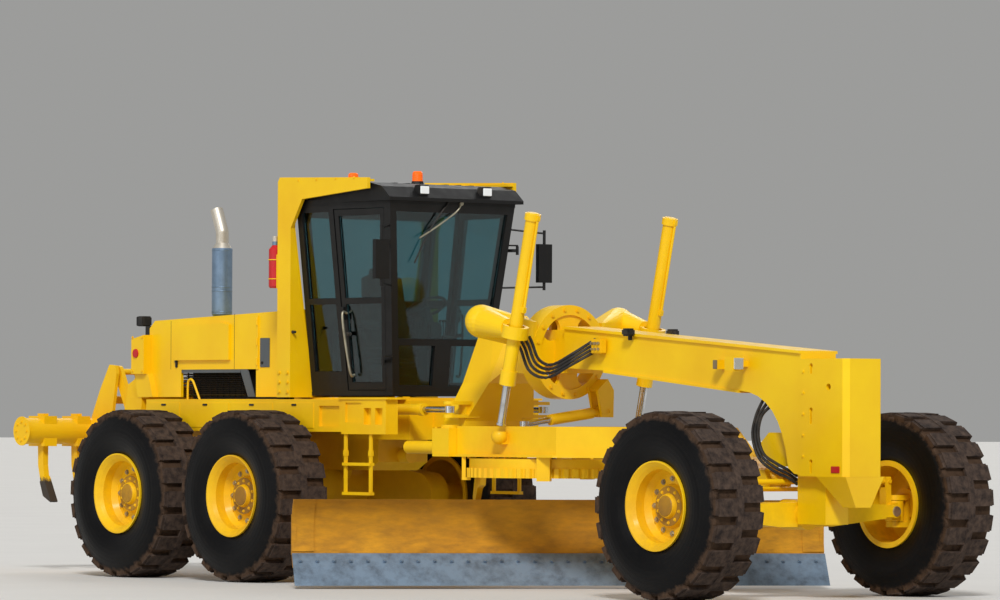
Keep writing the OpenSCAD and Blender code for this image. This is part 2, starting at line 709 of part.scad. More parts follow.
module shift_barrel() {
    color(yellow) place() difference() {
        union() {
            rod(shift_a, shift_a + shift_dir * 150, 34);
            rod(shift_a + shift_dir * 130, shift_a + shift_dir * shift_gland, shift_r);
            disc_x(shift_a, 54, 80);
            disc_x(shift_a, 22, 140);
        }
        rod(shift_a + shift_dir * 140, shift_a + shift_dir * (shift_gland + 20), shift_rod_r + fit);
    }
}
module shift_rod() {
    color(chrome) place() {
        rod(shift_a + shift_dir * shift_rod_in, shift_b, shift_rod_r);
        translate([shift_b[0], shift_b[1], shift_b[2] - shift_eye_h / 2]) cylinder(r = 45, h = shift_eye_h);
    }
}
art_y = 550;
art_z = 1610;
art_rear_x = -5150;
art_front_x = -4100;
art_gland = 680;
art_rod_in = 330;
module art_barrel(s) {
    c = [art_rear_x, s * art_y, art_z];
    color(yellow) place() difference() {
        union() {
            rod(c, c + [90, 0, 0], 28);
            rod(c + [75, 0, 0], c + [art_gland, 0, 0], art_r);
            translate(c - [0, 0, 30]) cylinder(r = 55, h = 60);
            translate(c - [0, 0, 62]) cylinder(r = 22, h = 124);
            rod(c + [art_gland - 60, 0, 0], c + [art_gland, 0, 0], art_r + 8);
        }
        rod(c + [88, 0, 0], c + [art_gland + 20, 0, 0], art_rod_r + fit);
    }
}
module art_rod(s) {
    c = [art_front_x, s * art_y, art_z];
    color(chrome) place() {
        rod([art_rear_x + art_rod_in, s * art_y, art_z], c, art_rod_r);
        translate(c - [0, 0, 30]) cylinder(r = 46, h = 60);
    }
}

// Ripper: a parallelogram of lower arms and upper links behind the rear frame
arm_foot = [-9650, 620];
link_foot = [-9550, 1200];
beam_x = -10290;
beam_z = 1385;
arm_tip = [-10078, 1400];
link_tip = arm_tip + link_foot - arm_foot;
ripper_pin_r = 30;
shank_x = -tail_reach + 150;
arm_side_y = 215;
jack_foot = [-9400, 1830];
jack_tip = arm_foot + (arm_tip - arm_foot) * 0.42;
jack_dir = (jack_tip - jack_foot) / norm(jack_tip - jack_foot);
jack_r = 50;
jack_len = 620;
jack_rod_r = 28;
function xz(p, y = 0) = [p[0], y, p[1]];
module bar_xz(a, b, half, w, y) {
    d = (b - a) / norm(b - a);
    n = [-d[1], d[0]];
    side_plate([a + n * half, b + n * half, b - n * half, a - n * half], w, y);
    disc_y(xz(a, y), half, w);
    disc_y(xz(b, y), half, w);
}
module ripper_arms() {
    color(yellow) place() difference() {
        union() {
            for (s = [-1, 1]) bar_xz(arm_foot, arm_tip, 75, 50, s * (arm_side_y + 35));
            for (s = [-1, 1]) disc_y(xz(jack_tip, s * 135), 45, 190);
            disc_y(xz(arm_foot + (arm_tip - arm_foot) * 0.8), 45, 2 * arm_side_y + 30);
        }
        for (p = [arm_foot, arm_tip]) disc_y(xz(p), ripper_pin_r + fit, 700);
    }
}
module ripper_link() {
    color(yellow) place() difference() {
        union() {
            for (s = [-1, 1]) bar_xz(link_foot, link_tip, 60, 40, s * 120);
            disc_y(xz(link_foot + (link_tip - link_foot) * 0.75), 40, 250);
        }
        for (p = [link_foot, link_tip]) disc_y(xz(p), ripper_pin_r + fit, 500);
    }
}
module ripper_beam() {
    color(yellow) place() {
        disc_y([beam_x, 0, beam_z], ripper_r, ripper_len);
        for (s = [-1, 1]) {
            // Tower plates with the pins of the arms and links
            side_plate([[-10260, 1280], [-10060, 1330], [-10005, 1400], [-9905, 1960], [-9925, 2040], [-10030, 2050],
                [-10190, 1800], [-10350, 1500], [-10390, 1440]], 35, s * 185);
            disc_y(xz(arm_tip, s * 230), ripper_pin_r, 130);
            disc_y([beam_x, s * (ripper_len / 2 - 6), beam_z], ripper_r + 14, 12);
        }
        disc_y(xz(link_tip), ripper_pin_r, 380);
        disc_y([-10140, 0, 1700], 40, 380);
        // Shanks with their holders
        for (i = [-2 : 2]) {
            y = i * shank_gap;
            difference() {
                block([-tail_reach, y - 75, 1235], [-10180, y + 75, 1535]);
                block([shank_x - 60, y - 32, 1200], [shank_x + 45, y + 32, 1600]);
            }
            side_plate([[shank_x - 60, 1560], [shank_x + 45, 1560], [shank_x + 45, 1050], [shank_x + 75, 880],
                [shank_x + 130, 760], [shank_x + 80, 745], [shank_x + 5, 860], [shank_x - 45, 1040]], 60, y);
            side_plate([[shank_x + 2, 880], [shank_x + 60, 940], [shank_x + 200, 690], [shank_x + 190, 680],
                [shank_x + 60, 740]], 84, y);
        }
    }
}
module ripper_barrel() {
    color(yellow) place() difference() {
        union() {
            rod(xz(jack_foot), xz(jack_foot + jack_dir * jack_len), jack_r);
            disc_y(xz(jack_foot), 55, 110);
            disc_y(xz(jack_foot), 25, 190);
        }
        rod(xz(jack_foot + jack_dir * 60), xz(jack_foot + jack_dir * (jack_len + 30)), jack_rod_r + fit);
    }
}
module ripper_rod() {
    color(chrome) place() {
        rod(xz(jack_foot + jack_dir * 80), xz(jack_tip), jack_rod_r);
        disc_y(xz(jack_tip), 42, 60);
    }
}

// Rear frame
beam_half_in = 280;
beam_half_out = 430;
beam_low = 1330;
beam_top = 1690;
deck_top = 1720;
tandem_x = -wheelbase;
module rear_frame() {
    color(yellow) place() difference() {
        union() {
            for (s = [-1, 1]) {
                block([-8905, min(s * beam_half_in, s * beam_half_out), beam_low],
                    [-4850, max(s * beam_half_in, s * beam_half_out), beam_top]);
                // Saddle plates over the tandem's cross housing
                side_plate([[tandem_x - 420, beam_low + 5], [tandem_x + 420, beam_low + 5], [tandem_x + 180, 940],
                    [tandem_x - 180, 940]], 80, s * 390);
                // Lugs of the articulation cylinders
                for (k = [-1, 1]) {
                    block([-5220, min(s * 425, s * art_y), art_z + k * 48.5 - 12.5], [-5095, max(s * 425, s * art_y), art_z + k * 48.5 + 12.5]);
                    translate([art_rear_x, s * art_y, art_z + k * 48.5 - 12.5]) cylinder(r = 62, h = 25);
                }
                // Cab posts
                for (x = [-6280, -5050]) block([x, s * 388 - 40, beam_top - 1], [x + 100, s * 388 + 40, cab_floor - 12]);
                // Ripper bracket
                side_plate([[-9140, 520], [-9140, 1900], [-9370, 1900], [-9480, 1850], [-9500, 1740], [-9620, 1260],
                    [-9620, 1140], [-9560, 760], [-9720, 660], [-9720, 570], [-9650, 530]], 55, s * 330);
                disc_y(xz(arm_foot, s * 290), ripper_pin_r, 130);
                disc_y(xz(link_foot, s * 215), ripper_pin_r, 240);
                side_plate([[-9140, 1650], [-9140, 1900], [-9360, 1900], [-9470, 1860], [-9470, 1760]], 30, s * 75);
            }
            block([-9160, -600, 1250], [-8900, 600, deck_top]);
            block([-9160, -360, 900], [-9110, 360, 1260]);
            block([-9160, -360, 1715], [-9120, 360, 1900]);
            // Front box and the articulation's rear lug
            block([-5300, -beam_half_out, beam_low], [-4850, beam_half_out, beam_top]);
            block([-4900, -150, 1445], [hitch_x, 150, 1590]);
            translate([hitch_x, 0, 1445]) cylinder(r = 150, h = 145);
            // Deck under the cab
            block([-6400, -beam_half_out, beam_top - 1], [-4900, beam_half_out, deck_top]);
            block([-6400, -600, platform_top + seat], [-4900, 600, deck_top]);
            // Transmission under the frame
            side_plate([[-6550, beam_low + 15], [-5500, beam_low + 15], [-5500, 1120], [-5650, 1040], [-6380, 1040],
                [-6550, 1140]], 2 * beam_half_in + 20);
            disc_x([-5440, 0, 1180], 70, 140);
            for (x = [-8400, -7300]) block([x, -beam_half_in - 1, beam_low], [x + 150, beam_half_in + 1, beam_low + 20]);
        }
        translate([hitch_x, 0, 1300]) cylinder(r = hitch_pin_r + fit, h = 500);
        for (s = [-1, 1]) {
            translate([art_rear_x, s * art_y, art_z - 100]) cylinder(r = 22 + fit, h = 200);
            disc_y(xz(jack_foot, s * 75), 25 + fit, 60);
        }
        disc_y([tandem_x, 0, tyre_r + 90], 200 + seat, 900);
    }
}
case_in = 690;
case_out = 900;
case_end_r = 210;
module tandem_cases() {
    color(yellow) place() {
        for (s = [-1, 1]) {
            y = s * (case_in + case_out) / 2;
            side_plate([[tandem_x - tandem_gap / 2, tyre_r - case_end_r], [tandem_x + tandem_gap / 2, tyre_r - case_end_r],
                [tandem_x + tandem_gap / 2, tyre_r + case_end_r], [tandem_x + 300, tyre_r + case_end_r + 90],
                [tandem_x - 300, tyre_r + case_end_r + 90], [tandem_x - tandem_gap / 2, tyre_r + case_end_r]],
                case_out - case_in, y);
            for (k = [-1, 1]) {
                x = tandem_x + k * tandem_gap / 2;
                disc_y([x, y, tyre_r], case_end_r, case_out - case_in);
                disc_y([x, s * 1040, tyre_r], 110, 281);
                disc_y([x, s * 1200, tyre_r], spindle_r, 80);
            }
        }
        // Cross housing with its differential
        disc_y([tandem_x, 0, tyre_r + 90], 200, 2 * case_in + 2);
        disc_y([tandem_x, 0, tyre_r + 90], 260, 420);
    }
}

platform_low = 1380;
platform_top = 1700;
step_low = 820;
module platform_side() {
    // Outer box with its toe board
    difference() {
        block([-8400, 470, 1400], [-5260, 895, platform_top]);
        block([-5620, 870, 1450], [-5310, 910, 1640]);
    }
    block([-8400, 430 + seat, platform_top - 40], [-5260, 480, platform_top - 5]);
    difference() {
        block([-5270, 760, platform_low], [-4600, 900, platform_top]);
        block([-5210, 885, platform_low + 110], [-4970, 910, platform_top - 30]);
        for (x = [-4930, -4760]) block([x, 850, platform_low + 90], [x + 110, 910, platform_top - 80]);
    }
    block([-5300, 760, platform_top - 1], [-4560, 912, platform_top + 18]);
    // Access steps hanging on two straps
    for (x = [-5250, -4870]) {
        block([x, 868, step_low], [x + 40, 884, platform_low + 60]);
        block([x - 5, 862, 1180], [x + 45, 890, 1230]);
    }
    for (z = [step_low, 1090]) block([-5250, 850, z], [-4830, 905, z + 28]);
}
module side_platforms() {
    color(yellow) place() {
        platform_side();
        left() platform_side();
    }
}

// Cab. Its side walls lean outward and its front wall leans forward
cab_rear = -6090;
cab_front = -4950;
cab_front_top = -4760;
floor_half_rear = 620;
floor_half_front = 550;
eave_half_rear = 820;
wall_turn = atan2(floor_half_rear - floor_half_front, cab_front - cab_rear);
wall_lean = atan2((eave_half_rear - floor_half_rear) * cos(wall_turn), cab_eave - cab_floor);
front_lean = atan2(cab_front_top - cab_front, cab_eave - cab_floor);
// The wall's own coordinates of a point seen from the side at X and Z
function on_wall(p) = let (w = (p[1] - cab_floor) / cos(wall_lean))
    [(p[0] - cab_rear - w * sin(wall_lean) * sin(wall_turn)) / cos(wall_turn), w];
function on_front(p) = [p[0], (p[1] - cab_floor) / cos(front_lean)];
function wall_half(x, z) = floor_half_rear - (x - cab_rear) * tan(wall_turn)
    + (z - cab_floor) * (eave_half_rear - floor_half_rear) / (cab_eave - cab_floor);
function front_x(z) = cab_front + (z - cab_floor) * (cab_front_top - cab_front) / (cab_eave - cab_floor);
module at_wall() translate([cab_rear, -floor_half_rear, cab_floor])
    rotate([0, 0, wall_turn]) rotate([90 + wall_lean, 0, 0]) children();
module at_front() translate([cab_front, 0, cab_floor]) rotate([0, front_lean, 0]) rotate([90, 0, 90]) children();
// A plate in the side wall: outline as seen from the side, depth of its outer face, thickness
module wall_plate(points, depth, t)
    at_wall() translate([0, 0, -depth - t]) linear_extrude(t) polygon([for (p = points) on_wall(p)]);
module front_plate(points, depth, t)
    at_front() translate([0, 0, -depth - t]) linear_extrude(t) polygon([for (p = points) on_front(p)]);
// A window's outline drawn in by the gap of its seal
function pane(points) = let (c = (points[0] + points[1] + points[2] + points[3]) / 4)
    [for (p = points) p + [sign(c[0] - p[0]), sign(c[1] - p[1])] * seat];
function box_outline(x0, z0, x1, z1) = [[x0, z0], [x1, z0], [x1, z1], [x0, z1]];
// Outline with its front edge a given distance behind the front wall
function lean_outline(x0, z0, inset, z1) = [[x0, z0], [front_x(z0) - inset, z0], [front_x(z1) - inset, z1], [x0, z1]];

door_rear = -5560;
door_inset = 95;
door_low = 1790;
door_high = 3460;
sill_z = [2585, 2640];
post_x = -5640;
// How far the floor and roof plates stand out past the walls, and the end walls stand in
lip = 4;
module side_wall() {
    difference() {
        wall_plate(lean_outline(cab_rear, cab_floor, 0, cab_eave), 0, cab_wall);
        wall_plate(lean_outline(door_rear - 14, door_low - 6, door_inset - 6, door_high + 6), -over, cab_wall + 2 * over);
        wall_plate(rear_high_window, -over, cab_wall + 2 * over);
        wall_plate(rear_low_window, -over, cab_wall + 2 * over);
    }
}
rear_high_window = box_outline(-6020, 2640, post_x, 3440);
rear_low_window = box_outline(-6020, 1960, post_x, 2585);
back_window = [[-600, 2640], [600, 2640], [690, 3400], [-690, 3400]];
windshield = [[-530, 2260], [530, 2260], [655, 3430], [-655, 3430]];
front_low_window = [[95, 1830], [480, 1830], [520, 2200], [95, 2200]];
module cab_shell() {
    color(black) place() {
        side_wall();
        left() side_wall();
        difference() {
            front_plate([[lip - wall_half(cab_front, cab_floor), cab_floor + lip],
                [wall_half(cab_front, cab_floor) - lip, cab_floor + lip],
                [wall_half(cab_front_top, cab_eave) - lip, cab_eave - lip],
                [lip - wall_half(cab_front_top, cab_eave), cab_eave - lip]], 0, cab_wall);
            front_plate(windshield, -over, cab_wall + 2 * over);
            front_plate(front_low_window, -over, cab_wall + 2 * over);
            left() front_plate(front_low_window, -over, cab_wall + 2 * over);
        }
        difference() {
            cross_plate([[lip - floor_half_rear, cab_floor + lip], [floor_half_rear - lip, cab_floor + lip],
                [eave_half_rear - lip, cab_eave - lip], [lip - eave_half_rear, cab_eave - lip]], cab_rear, cab_wall);
            cross_plate(back_window, cab_rear - over, cab_wall + 2 * over);
        }
        // Floor, roof and its fascia
        plan_plate([[cab_rear - lip, -floor_half_rear - lip], [cab_front + lip, -floor_half_front - lip],
            [cab_front + lip, floor_half_front + lip], [cab_rear - lip, floor_half_rear + lip]], cab_floor - lip, 30 + lip);
        plan_plate([[cab_rear - lip, -eave_half_rear - lip], [cab_front_top - 1, -740], [cab_front_top - 1, 740],
            [cab_rear - lip, eave_half_rear + lip]], cab_eave - 30, 60);
        side_plate([[cab_rear - 5, cab_eave - 1], [cab_rear - 5, 3700], [-5000, 3700], [cab_front_top - 60, 3660],
            [cab_front_top + 60, 3560], [cab_front_top + 60, cab_eave - 1]], 1580);
        // Brackets of the door hinges
        for (s = [-1, 1]) for (z = hinge_z) let (x = front_x(z), w = wall_half(x, z))
            plan_plate([[x - 70, s * (w - 20)], [x - 8, s * (w - 20)], [door_hinge_x + 12, s * (door_hinge_y - 8)],
                [door_hinge_x, s * (door_hinge_y + 12)], [door_hinge_x - 12, s * (door_hinge_y + 4)]], z + 40 + seat, 14);
        // Mirrors on their arms
        for (s = [-1, 1]) {
            rod([-4830, s * 690, 3300], [-4600, s * 960, 3260], 9);
            rod([-4880, s * 630, 2750], [-4600, s * 960, 2760], 9);
            rod([-4600, s * 960, 2730], [-4600, s * 960, 3290], 14);
            block([-4625, s * 960 - 80, 2800], [-4580, s * 960 + 80, 3160]);
        }
    }
}
module cab_glass() {
    color(glass) place() {
        for (k = [0, 1]) mirror([0, k, 0]) {
            wall_plate(pane(rear_high_window), 26, glass_t);
            wall_plate(pane(rear_low_window), 26, glass_t);
            front_plate(pane(front_low_window), 26, glass_t);
        }
        front_plate(pane(windshield), 26, glass_t);
        cross_plate(pane(back_window), cab_rear + 26, glass_t);
    }
}
door_high_window = lean_outline(door_rear + 55, sill_z[1], door_inset + 50, door_high - 60);
door_low_window = lean_outline(door_rear + 55, door_low + 70, door_inset + 50, sill_z[0]);
door_hinge_x = -4790;
door_hinge_y = 790;
hinge_z = [2050, 3100];
module door_panel() {
    difference() {
        wall_plate(lean_outline(door_rear, door_low, door_inset, door_high), 2, 46);
        wall_plate(door_high_window, -over, cab_wall + over);
        wall_plate(door_low_window, -over, cab_wall + over);
    }
    // Hinge straps reaching forward to the hinge's axis, and the handle
    for (z = hinge_z) {
        x = front_x(z) - door_inset - 3;
        w = wall_half(x, z);
        plan_plate([[x - 40, -w + 20], [x, -w + 20], [x, -w - 6], [door_hinge_x + 6, -door_hinge_y + 9],
            [door_hinge_x - 7, -door_hinge_y - 9], [x - 14, -w - 24], [x - 40, -w - 12]], z - 15, 30);
        translate([door_hinge_x, -door_hinge_y, z - 40]) cylinder(r = 14, h = 80);
    }
    wall_plate(box_outline(door_rear + 10, 2440, door_rear + 45, 2560), -25, 30);
}
module door_panes() {
    wall_plate(pane(door_high_window), 22, glass_t);
    wall_plate(pane(door_low_window), 22, glass_t);
}
module door_r() color(black) place() door_panel();
module door_l() color(black) place() left() door_panel();
module door_r_glass() color(glass) place() door_panes();
module door_l_glass() color(glass) place() left() door_panes();
module cab_interior() {
    color(black) place() {
        // Seat
        block([-5760, -250, cab_floor + 30 + seat], [-5360, 250, 2085]);
        side_plate([[-5830, 2080], [-5290, 2080], [-5260, 2140], [-5290, 2200], [-5830, 2180]], 540);
        side_plate([[-5822, 2150], [-5700, 2150], [-5790, 2900], [-5870, 2930], [-5900, 2870]], 480);
        for (s = [-1, 1]) block([-5760, s * 310 - 35, 2380], [-5400, s * 310 + 35, 2440]);
        for (s = [-1, 1]) block([-5780, min(s * 240, s * 335), 2100], [-5710, max(s * 240, s * 335), 2390]);
        // Steering console with its wheel and levers
        side_plate([[-5170, cab_floor + 30 + seat], [-5030, cab_floor + 30 + seat], [-4960, 2480], [-5070, 2560], [-5190, 2440]], 240);
        translate([-5160, 0, 2560]) rotate([0, -30, 0]) {
            rotate_extrude() translate([190, 0]) circle(r = 16);
            translate([0, 0, -130]) cylinder(r = 34, h = 146);
            for (a = [0, 120, 240]) rotate([0, 0, a]) rod([20, 0, 0], [190, 0, 0], 10);
        }
        for (s = [-1, 1]) block([-5130, s * 185 - 70, 2200], [-5030, s * 185 + 70, 2360]);
        side_plate([[-6020, cab_floor + 30 + seat], [-5900, cab_floor + 30 + seat], [-5900, 2350], [-6020, 2350]], 900);
    }
}

// Roll-over frame around the cab's rear, with the roof rails
rops_rear = -6300;
rops_front = -6096;
module rops_frame() {
    color(yellow) place() {
        for (s = [-1, 1]) {
            // Pillar, wide at its foot
            cross_plate([[s * 600, deck_top], [s * 880, deck_top], [s * 880, cab_top - 60], [s * 826, cab_top - 60],
                [s * 826, 3300]], rops_rear, rops_front - rops_rear);
            side_plate([[rops_rear, 3540], [-4920, 3640], [-4920, 3740], [rops_rear + 30, cab_top], [rops_rear, cab_top - 40]],
                34, s * 863);
            side_plate([[rops_rear, 3300], [-6096, 3300], [-5900, 3600], [rops_rear, 3600]], 34, s * 863);
            block([rops_rear, s * 720 - 160, deck_top], [rops_front, s * 720 + 160, deck_top + 30]);
        }
        block([rops_rear, -860, 3560], [rops_front, 860, cab_top - 60]);
        plan_plate([[rops_rear + 20, -850], [-4930, -850], [-4930, -790], [-6072, -790], [-6072, 790], [-4930, 790],
            [-4930, 850], [rops_rear + 20, 850]], 3705, 22);
    }
}

// Hood
hood_rear = -8840;
hood_front = -6335;
hood_low = 1725;
function hood_z(x) = hood_rear_top + (hood_front_top - hood_rear_top) * (x - hood_rear) / (hood_front - hood_rear);
function hood_side(inset, low) = [[hood_rear + inset, low], [hood_front - inset, low],
    [hood_front - inset, hood_z(hood_front) - inset], [hood_rear + 90, hood_z(hood_rear + 90) - inset],
    [hood_rear + inset, hood_rear_top - 70]];
module hood() {
    color(yellow) place() {
        difference() {
            side_plate(hood_side(0, hood_low), 2 * hood_half);
            side_plate(hood_side(hood_t, hood_low - over), 2 * (hood_half - hood_t));
            for (s = [-1, 1]) block([-8310, s * hood_half - 60, hood_low - over], [-7080, s * hood_half + 60, 1990]);
            // Radiator opening in the rear wall
            block([hood_rear - over, -430, 1820], [hood_rear + 60, 430, 2320]);
            // Exhaust opening
            translate([-8400, 0, 2300]) cylinder(r = muffler_r + 15, h = 400);
        }
        for (s = [-1, 1]) {
            // Raised door panel, hinge strip and recessed lower frame
            side_plate([[-8400, 2080], [-7490, 2080], [-7490, 2420], [-7620, 2440], [-8280, 2420], [-8400, 2380]],
                30, s * (hood_half + 14));
            block([-7065, min(s * 545, s * 562), 1990], [-7035, max(s * 545, s * 562), 2500]);
            // Rear corner lamp box with its sloped support
            side_plate([[-9010, 1950], [-8800, 1950], [-8800, 2330], [-9010, 2290]], 130, s * 585);
            side_plate([[-8960, 1725], [-8700, 1725], [-8780, 1951], [-9000, 1951]], 60, s * 580);
        }
    }
}
module engine_block() {
    color(black) place() block([-8500, -270, 1350.3], [-7000, 270, 2250]);
}
exhaust_x = -8400;
module exhaust_stack() {
    color(steel) place() {
        translate([exhaust_x, 0, 2250.3]) cylinder(r = 60, h = 260);
        translate([exhaust_x, 0, 2480]) cylinder(r1 = 60, r2 = muffler_r, h = 60);
        translate([exhaust_x, 0, 2535]) cylinder(r = muffler_r, h = 640);
        translate([exhaust_x, 0, 3174]) cylinder(r1 = muffler_r, r2 = 62, h = 60);
        // Tail pipe bent to the rear, open at its end
        difference() {
            union() {
                translate([exhaust_x, 0, 3230]) cylinder(r = 62, h = 110);
                translate([exhaust_x, 0, 3340]) sphere(r = 62);
                rod([exhaust_x, 0, 3340], [exhaust_x - 95, 0, 3560], 62);
            }
            translate([exhaust_x, 0, 3340]) rotate([0, -23.4, 0]) translate([0, 0, 60]) cylinder(r = 54, h = 260);
        }
    }
}
module lamps() {
    color(black) place() {
        // Beacons on the cab's roof
        for (c = [[-6000, -220], [-5300, 0]]) {
            translate([c[0], c[1], 3700]) cylinder(r = 62, h = 40);
            translate([c[0], c[1], 3740]) cylinder(r = 52, h = 95);
        }
        // Rear lamps, work lamp on the boom
        for (s = [-1, 1]) block([-9210, s * 400 - 60, 2420], [-9090, s * 400 + 60, 2520]);
        for (s = [-1, 1]) block([-9100, s * 400 - 14, 2330], [hood_rear - seat, s * 400 + 14, 2425]);
        for (s = [-1, 1]) disc_y([-8930, s * (650 + seat + 6), 2150], 45, 12);
    }
}

// Hoses along the front frame
hose_r = 14;
function point_on(path, t) = let (n = len(path) - 1, i = min(floor(t), n - 1), f = t - i,
    p0 = path[max(i - 1, 0)], p1 = path[i], p2 = path[i + 1], p3 = path[min(i + 2, n)])
    0.5 * (2 * p1 + f * (p2 - p0) + f * f * (2 * p0 - 5 * p1 + 4 * p2 - p3) + f * f * f * (3 * p1 - p0 - 3 * p2 + p3));
module tube(path, r, rings) {
    n = len(path) - 1;
    sides = 8;
    c = [for (i = [0 : rings]) point_on(path, n * i / rings)];
    d = [for (i = [0 : rings]) let (v = c[min(i + 1, rings)] - c[max(i - 1, 0)]) v / norm(v)];
    points = [for (i = [0 : rings]) let (u = cross(d[i], [1, 0.2, 0.1]), e = u / norm(u), g = cross(d[i], e))
        for (k = [0 : sides - 1]) c[i] + r * (cos(k * 360 / sides) * e + sin(k * 360 / sides) * g)];
    walls = [for (i = [0 : rings - 1]) for (k = [0 : sides - 1]) let (m = (k + 1) % sides)
        [i * sides + k, (i + 1) * sides + k, (i + 1) * sides + m, i * sides + m]];
    polyhedron(points, concat(walls, [[for (k = [0 : sides - 1]) k]],
        [[for (k = [sides - 1 : -1 : 0]) rings * sides + k]]));
}
module hoses() {
    color(black) place() {
        for (i = [0 : 3])
            tube([[-2440, -boom_half - 10, 2240 - 36 * i], [-2540, -390 - 16 * i, 2110 - 38 * i], [-2700, -500 - 16 * i, 2010 - 38 * i],
                [-2860 - 20 * i, -520 - 18 * i, 2060 - 36 * i], [-2985 - 12 * i, -490 - 34 * i, 2200 - 20 * i],
                [-3064 - 12 * i, -460 - 40 * i, 2260 - 16 * i]], hose_r, 24);
        for (i = [0 : 2])
            tube([[-155 - 45 * i, -150 - 8 * i, 1650 + 22 * i], [-240 - 36 * i, -185, 1560], [-265 - 36 * i, -200, 1400 - 5 * i],
                [-200 - 30 * i, -198, 1240 - 18 * i], [-60 - 12 * i, -184, 1160 - 34 * i], [80, -160, 1100 - 34 * i],
                [155, -122, 1050 - 36 * i]], hose_r, 26);
    }
}

rear_frame();
tandem_cases();
side_platforms();
cab_shell();
cab_glass();
rops_frame();
cab_interior();
hood();
engine_block();
exhaust_stack();
lamps();
door_r();
door_r_glass();
door_l();
door_l_glass();
at_wheel(0) tyre(0);  // tyre_fr
at_wheel(1) tyre(0.3);  // tyre_fl
at_wheel(2) tyre(0.6);  // tyre_mr
at_wheel(3) tyre(0.1);  // tyre_ml
at_wheel(4) tyre(0.8);  // tyre_rr
at_wheel(5) tyre(0.45);  // tyre_rl
at_wheel(0) rim();  // rim_fr
at_wheel(1) rim();  // rim_fl
at_wheel(2) rim();  // rim_mr
at_wheel(3) rim();  // rim_ml
at_wheel(4) rim();  // rim_rr
at_wheel(5) rim();  // rim_rl
front_frame();
lift_ring();
axle_beam();
hoses();
lean_bracket();  // lean_bracket_r
left() lean_bracket();  // lean_bracket_l
lean_bar();
knuckle();  // knuckle_r
left() knuckle();  // knuckle_l
tie_rod();
drawbar_ball();
drawbar();
circle_drive();
circle_gear();
blade_arms();
moldboard();
cutting_edge();
lift_barrel(-1);  // lift_barrel_r
lift_barrel(1);  // lift_barrel_l
lift_rod(-1);  // lift_rod_r
lift_rod(1);  // lift_rod_l
shift_barrel();
shift_rod();
art_barrel(-1);  // art_barrel_r
art_barrel(1);  // art_barrel_l
art_rod(-1);  // art_rod_r
art_rod(1);  // art_rod_l
ripper_arms();
ripper_beam();
ripper_link();
ripper_barrel();
ripper_rod();
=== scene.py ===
"""Dressed model of an articulated motor grader: finishes, small fittings, camera and studio.

Sizes and places are millimetres from the front axle's ground point, with X forward, Y to the left
and Z up, as in the part's source. Finished meshes are in the frame's metres.
"""
import logging
import math
from dataclasses import dataclass
from enum import Enum

import bmesh
import bpy
from mathutils import Matrix, Vector


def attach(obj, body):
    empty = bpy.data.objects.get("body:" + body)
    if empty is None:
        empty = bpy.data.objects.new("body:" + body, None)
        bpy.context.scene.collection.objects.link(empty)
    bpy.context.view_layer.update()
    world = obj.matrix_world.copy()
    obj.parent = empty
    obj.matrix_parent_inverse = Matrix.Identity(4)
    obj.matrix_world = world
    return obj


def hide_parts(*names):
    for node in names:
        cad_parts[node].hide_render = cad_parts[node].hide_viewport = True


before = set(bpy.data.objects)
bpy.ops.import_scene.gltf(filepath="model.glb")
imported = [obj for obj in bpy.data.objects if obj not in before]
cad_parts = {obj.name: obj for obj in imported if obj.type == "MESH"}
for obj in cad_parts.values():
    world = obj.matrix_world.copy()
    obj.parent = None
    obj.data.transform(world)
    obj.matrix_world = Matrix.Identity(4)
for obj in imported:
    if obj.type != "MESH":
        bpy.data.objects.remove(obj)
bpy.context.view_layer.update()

LOG = logging.getLogger("grader")
MM = 0.001
# Front axle's place along the frame's X, in metres
AXLE_X = 4.795
SIDES = (-1, 1)
HANDS = ((1, "left"), (-1, "right"))
Point = tuple[float, float, float]
Spots = list[tuple[Point, Point]]

NOISE = "ShaderNodeTexNoise"
RANGE = "ShaderNodeMapRange"
MIX = "ShaderNodeMix"
NUMBER = "ShaderNodeMath"
VECTOR = "ShaderNodeVectorMath"
SPLIT = "ShaderNodeSeparateXYZ"
BUMP = "ShaderNodeBump"


def at(x: float, y: float, z: float) -> Vector:
    """Turn millimetres from the front axle's ground point into the frame's metres."""
    return Vector((x * MM + AXLE_X, y * MM, z * MM))


def scale(size_mm: float) -> float:
    """Turn the real size of a pattern's features into the pattern's scale."""
    return 1 / (size_mm * MM)


def linear(code: str) -> tuple[float, float, float, float]:
    """Turn an sRGB hex colour into linear RGBA.

    Args:
        code: Six hex digits after a hash.

    Returns:
        Red, green, blue and an alpha of one.
    """
    values = [int(code[i:i + 2], 16) / 255 for i in (1, 3, 5)]
    red, green, blue = (v / 12.92 if v <= 0.04045 else ((v + 0.055) / 1.055) ** 2.4 for v in values)
    return (red, green, blue, 1.0)


def add(tree: bpy.types.NodeTree, kind: str, links: dict | None = None, **settings: object) -> bpy.types.Node:
    """Add a node with its settings and links.

    Args:
        tree: Tree that gets the node.
        kind: Node type.
        links: What each input gets, by name or place: a plain value, an output socket,
            or a node, which stands for its first live output.
        settings: Attributes of the node.

    Returns:
        The new node.
    """
    made = tree.nodes.new(kind)
    for name, value in settings.items():
        setattr(made, name, value)
    for name, value in (links or {}).items():
        if isinstance(value, bpy.types.Node):
            value = next(out for out in value.outputs if out.enabled)
        if isinstance(value, bpy.types.NodeSocket):
            tree.links.new(value, made.inputs[name])
        else:
            made.inputs[name].default_value = value
    return made


def start(name: str) -> tuple[bpy.types.Material, bpy.types.NodeTree, bpy.types.NodeSocket]:
    """Make an empty material.

    Args:
        name: Material's name.

    Returns:
        The material, its tree and the piece's own coordinates in metres.
    """
    made = bpy.data.materials.new(name)
    made.use_nodes = True
    made.node_tree.nodes.clear()
    return made, made.node_tree, add(made.node_tree, "ShaderNodeTexCoord").outputs["Object"]


